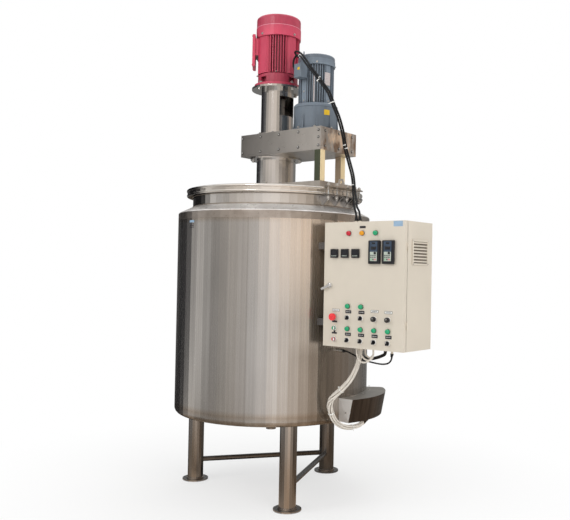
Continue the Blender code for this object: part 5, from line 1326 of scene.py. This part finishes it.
class MIXTANK_OT_instruments(bpy.types.Operator):
    """Fits the faces of the temperature controllers and the drives' keypads"""

    bl_idname = "mixtank.instruments"
    bl_label = "Controllers and keypads"

    def controllers(self):
        frames, windows, keys = shapes(3)
        side, bar, body, face = 0.0225, 0.004, 0.0106, 0.0108
        for x in METERS_X:
            for z in (METER_Z + side, METER_Z - side):
                door_plate(frames, x, z, 0.049, bar, 0.0125, edge=0.0008)
            for dx in (-side, side):
                door_plate(frames, x + dx, METER_Z, bar, 0.041, 0.0125, edge=0.0008)
            door_plate(frames, x, METER_Z, 0.042, 0.042, body)
            door_plate(windows, x, METER_Z + 0.0075, 0.036, 0.022, 0.0006, face)
            for i in range(4):
                key_x = x - 0.0135 + 0.009 * i
                door_plate(keys, key_x, METER_Z - 0.0135, 0.006, bar, 0.001, face)
        piece("controller_frames", frames, "black_abs", "black_plastic", DOOR)
        piece("controller_windows", windows, "display_window", "black_plastic", DOOR)
        piece("controller_keys", keys, "membrane", "pale_cable_sheath", DOOR)

    def execute(self, context):
        self.controllers()
        panels, screens, sheets, blacks, greens, reds = shapes(6)
        top = DOOR_FACE - KEYPAD_FACE
        window, key = top + 0.0012, top + 0.0014
        knob = [(0.0066, 0), (0.0064, 0.006), (0.0058, 0.0068), (0, 0.007)]
        for x in KEYPADS_X:
            door_plate(panels, x, KEYPAD_Z + 0.0265, 0.049, 0.062, 0.0012, top, 0.0004)
            door_plate(screens, x, KEYPAD_Z + 0.0480, 0.022, 0.009, 0.0008, window, 0.0003)
            door_plate(screens, x, KEYPAD_Z + 0.0215, 0.036, 0.017, 0.0008, window, 0.0003)
            door_plate(sheets, x, KEYPAD_Z - 0.0235, 0.045, 0.050, 0.0014, top, 0.0004)
            for i, across in enumerate((-0.0145, -0.0015, 0.0115)):
                for j, rise in enumerate((-0.0185, -0.0290, -0.0400)):
                    target = {(0, 2): greens, (2, 2): reds}.get((i, j), blacks)
                    size = (0.0065 if target is blacks else 0.0115, 0.0070, 0.0014)
                    door_plate(target, x + across, KEYPAD_Z + rise, *size, key, 0.0004)
            lathe(blacks, knob, door_facing(x + 0.0115, KEYPAD_Z - 0.0055, key), 24)
        for part, shape, finish, slot in (
            ("panels", panels, "slate_panel", "black_plastic"),
            ("windows", screens, "display_window", "black_plastic"),
            ("membranes", sheets, "membrane", "pale_cable_sheath"),
            ("keys_black", blacks, "black_abs", "black_plastic"),
            ("keys_green", greens, "green_key", "green_plastic"),
            ("keys_red", reds, "red_key", "red_plastic"),
        ):
            piece("keypad_" + part, shape, finish, slot, DOOR)
        return {"FINISHED"}


class MIXTANK_OT_heater(bpy.types.Operator):
    """Adds the heater cover's screws and lug"""

    bl_idname = "mixtank.heater"
    bl_label = "Heater cover"

    def execute(self, context):
        screws, lug = shapes(2)
        radius = 0.0055
        pan_screw(screws, facing(site(0.669, -0.0885, 0.566), FRONT), radius)
        for turn in (104, 118, 132):
            place = site(0, 0, HEATER_TOP) + heading(turn) * (JACKET_R + 0.022)
            pan_screw(screws, facing(place, UP), radius)
        piece("heater_screws", screws, "zinc", "zinc_plate")
        out = heading(93)
        foot = site(0, 0, HEATER_TOP + 0.0015) + out * (JACKET_R + 0.0125)
        slab(lug, (0.044, 0.003, 0.022), upright(foot, out), 0.0008)
        piece("heater_lug", lug, "plate_steel", "brushed_stainless")
        return {"FINISHED"}


class MIXTANK_OT_stage(bpy.types.Operator):
    """Lays the pale floor and sets the soft studio light"""

    bl_idname = "mixtank.stage"
    bl_label = "Stage"

    def execute(self, context):
        scene = context.scene
        scene.view_settings.view_transform = "Standard"
        shape = bmesh.new()
        bmesh.ops.create_grid(shape, x_segments=1, y_segments=1, size=60)
        floor = staged("studio_floor", shape, floor_paint())
        floor.location.z = -0.0005
        studio_screens()
        studio_world(scene)
        for name, place, size, power, seen in (
            ("Key", (-2.6, -4.6, 4.4), 3.2, 92, False),
            ("Fill", (5.2, -2.0, 3.0), 3.2, 96, False),
            ("Gloss", (0.6, -5.4, 4.9), 0.9, 18, True),
            ("Top", (0.0, 1.5, 6.5), 4.0, 80, False),
        ):
            lamp = bpy.data.lights.new(name, "AREA")
            lamp.size = size
            lamp.energy = power
            made = bpy.data.objects.new(name, lamp)
            made.visible_glossy = seen
            # A lamp shines along its own local -Z, here at a point 1.4 m above the origin.
            made.matrix_world = facing(Vector(place), Vector(place) - up(1.4))
            scene.collection.objects.link(made)
        return {"FINISHED"}


def staged(name, shape, material):
    """An object of the stage, standing on the tank's axis."""
    mesh = bpy.data.meshes.new(name)
    shape.to_mesh(mesh)
    shape.free()
    mesh.materials.append(material)
    made = bpy.data.objects.new(name, mesh)
    made.location = site(0, 0, 0)
    bpy.context.scene.collection.objects.link(made)
    return made


def straight_look(tree):
    """1 where the camera, a reflection or a see-through part looks, and 0 where light falls."""
    paths = add(tree, "LightPath", out=None).outputs
    seen = (paths["Is Camera Ray"], paths["Is Glossy Ray"])
    seen = add(tree, "Math", seen, operation="MAXIMUM")
    return add(tree, "Math", (seen, paths["Is Transmission Ray"]), operation="MAXIMUM")


def floor_paint():
    """Matt white floor: it keeps the tank's shadow near it and runs out to white."""
    tree, shader = new_finish("studio_floor", hex_colour("#F4F4F2"), roughness=0.9)
    place = add(tree, "TexCoord", out="Object")
    away = add(tree, "VectorMath", (place,), "Value", operation="LENGTH")
    reach = (away, 0.5, 2.4, 0.62, 1.0)
    whiteness = add(tree, "MapRange", reach, interpolation_type="SMOOTHSTEP")
    white = add(tree, "Emission", {"Color": (1, 1, 1, 1), "Strength": 1.0})
    share = add(tree, "Math", (straight_look(tree), whiteness), operation="MULTIPLY")
    mixed = add(tree, "MixShader", (share, shader.outputs["BSDF"], white))
    tree.links.new(mixed, tree.nodes["Material Output"].inputs["Surface"])
    return FINISHES["studio_floor"]


# What the bright steel shows: tones of the yard's walls by azimuth, at the jacket and higher up
LOW_TONES = {
    -114: "#3C3C3C", -97: "#161618", -84: "#242426", -69: "#39393B", -60: "#BFBBB7", -48: "#B4B1AE",
    -36: "#7A7876", -26: "#7B7876", -12: "#98948F", 6: "#96908B", 25: "#AEADAD", 42: "#D2CCC8",
    56: "#C9C0B8", 72: "#BEB3A8", 86: "#B8AA9C", 96: "#7C7266", 106: "#4C4741", 120: "#94887C",
    134: "#756C64", 150: "#95908A", 172: "#656464", 202: "#6E6E6C", 225: "#6C6B6A",
}
HIGH_TONES = {
    -114: "#262628", -97: "#101013", -80: "#24262A", -60: "#4A4A4C", -45: "#5A5A5A", -39: "#8C8782",
    -30: "#A8A29B", -15: "#B8B0A8", 10: "#CCC3BC", 36: "#C6BCB2", 52: "#8A8278", 66: "#444347",
    88: "#434246", 106: "#57534F", 122: "#94887C", 132: "#766E66", 142: "#9C8A7E", 155: "#8F8880",
    172: "#656464", 202: "#6E6E6C", 225: "#6C6B6A",
}
SCREEN_R, SCREEN_TOP, GROUND_CLOTH, EYE_LEVEL = 30.0, 22.0, 0.004, 1.2


def tone_ramp(tree, share, tones):
    ramp_node = add(tree, "ValToRGB", {"Fac": share}, None)
    ramp = ramp_node.color_ramp
    ramp.interpolation = "B_SPLINE"
    while len(ramp.elements) < len(tones):
        ramp.elements.new(0.5)
    stops = sorted(((azimuth + 90) % 360 / 360, tone) for azimuth, tone in tones.items())
    for element, (position, tone) in zip(ramp.elements, stops):
        element.position = position
        element.color = hex_colour(tone)
    return ramp_node.outputs["Color"]


def yard_light():
    """Glowing screens: walls in the yard's tones, darker ground below and a pale sky above."""
    material = bpy.data.materials.new("studio_screens")
    material.use_nodes = True
    tree = material.node_tree
    tree.nodes.clear()
    place = add(tree, "TexCoord", out="Object")
    axes = add(tree, "SeparateXYZ", (place,), None).outputs
    turn = add(tree, "Math", (axes["Y"], axes["X"]), operation="ARCTAN2")
    share = add(tree, "MapRange", (turn, -math.pi, math.pi, 0, 1))
    level = add(tree, "CombineXYZ", {"X": axes["X"], "Y": axes["Y"]})
    away = add(tree, "VectorMath", (level,), "Value", operation="LENGTH")
    rise = add(tree, "Math", (axes["Z"], EYE_LEVEL), operation="SUBTRACT")
    slope = add(tree, "Math", (rise, away), operation="DIVIDE")
    tones = tone_ramp(tree, share, LOW_TONES)
    for start, end, above, kind in (
        (0.12, 0.18, tone_ramp(tree, share, HIGH_TONES), "MIX"),
        (-0.16, -0.9, hex_colour("#BFAE9C"), "MULTIPLY"),
        (0.42, 0.7, hex_colour("#D2D0CE"), "MIX"),
    ):
        part = add(tree, "MapRange", (slope, start, end, 0, 1), interpolation_type="SMOOTHSTEP")
        layers = {"Factor": part, "A": tones, "B": above}
        tones = add(tree, "Mix", layers, "Result", data_type="RGBA", blend_type=kind)
    glow = add(tree, "Emission", {"Color": tones, "Strength": 1.62})
    add(tree, "OutputMaterial", {"Surface": glow}, None)
    return material


def studio_screens():
    """A bowl of far screens and ground cloth, seen only in reflections, with a yard's tones."""
    shape = bmesh.new()
    rings = []
    for radius in (0.02, 2.5, 8.0, SCREEN_R):
        rings.append([shape.verts.new(way * radius + up(GROUND_CLOTH)) for way in circle(96)])
    rings.append([shape.verts.new(way * SCREEN_R + up(SCREEN_TOP)) for way in circle(96)])
    joined(shape, rings, round_again=False)
    screens = staged("studio_screens", shape, yard_light())
    for way in ("camera", "diffuse", "transmission", "volume_scatter", "shadow"):
        setattr(screens, "visible_" + way, False)


def studio_world(scene):
    """White where the camera or a reflection looks past the screens, and a soft even light."""
    world = bpy.data.worlds.new("Studio")
    world.use_nodes = True
    scene.world = world
    tree = world.node_tree
    tree.nodes.clear()
    soft = add(tree, "Background", {"Color": (0.94, 0.95, 0.97, 1), "Strength": 0.7})
    white = add(tree, "Background", {"Color": (1, 1, 1, 1), "Strength": 1.0})
    mixed = add(tree, "MixShader", (straight_look(tree), soft, white))
    add(tree, "OutputWorld", {"Surface": mixed}, None)


class MIXTANK_PT_panel(bpy.types.Panel):
    """Lists the pieces in the order they are made"""

    bl_idname = "MIXTANK_PT_panel"
    bl_label = "Mixing tank"
    bl_space_type = "VIEW_3D"
    bl_region_type = "UI"
    bl_category = "Mixing tank"

    def draw(self, context):
        for group in (context.scene.tank_finish, context.scene.tank_detail):
            for name in group.bl_rna.properties.keys():
                if name not in ("rna_type", "name"):
                    self.layout.prop(group, name)
        for operator in OPERATORS:
            self.layout.operator(operator.bl_idname)


OPERATORS = (
    MIXTANK_OT_camera, MIXTANK_OT_cables, MIXTANK_OT_vessel, MIXTANK_OT_bridge,
    MIXTANK_OT_drive, MIXTANK_OT_main_motor, MIXTANK_OT_gear_motor, MIXTANK_OT_cabinet,
    MIXTANK_OT_controls, MIXTANK_OT_instruments, MIXTANK_OT_heater, MIXTANK_OT_stage,
)
CLASSES = (TankFinish, TankDetail, *OPERATORS, MIXTANK_PT_panel)


def register():
    for made in CLASSES:
        bpy.utils.register_class(made)
    bpy.types.Scene.tank_finish = bpy.props.PointerProperty(type=TankFinish)
    bpy.types.Scene.tank_detail = bpy.props.PointerProperty(type=TankDetail)


def unregister():
    del bpy.types.Scene.tank_detail
    del bpy.types.Scene.tank_finish
    for made in reversed(CLASSES):
        bpy.utils.unregister_class(made)


def main():
    register()
    make_finishes(bpy.context.scene.tank_finish)
    for operator in OPERATORS:
        getattr(bpy.ops.mixtank, operator.bl_idname.split(".")[1])()
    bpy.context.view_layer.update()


if __name__ == "__main__":
    main()
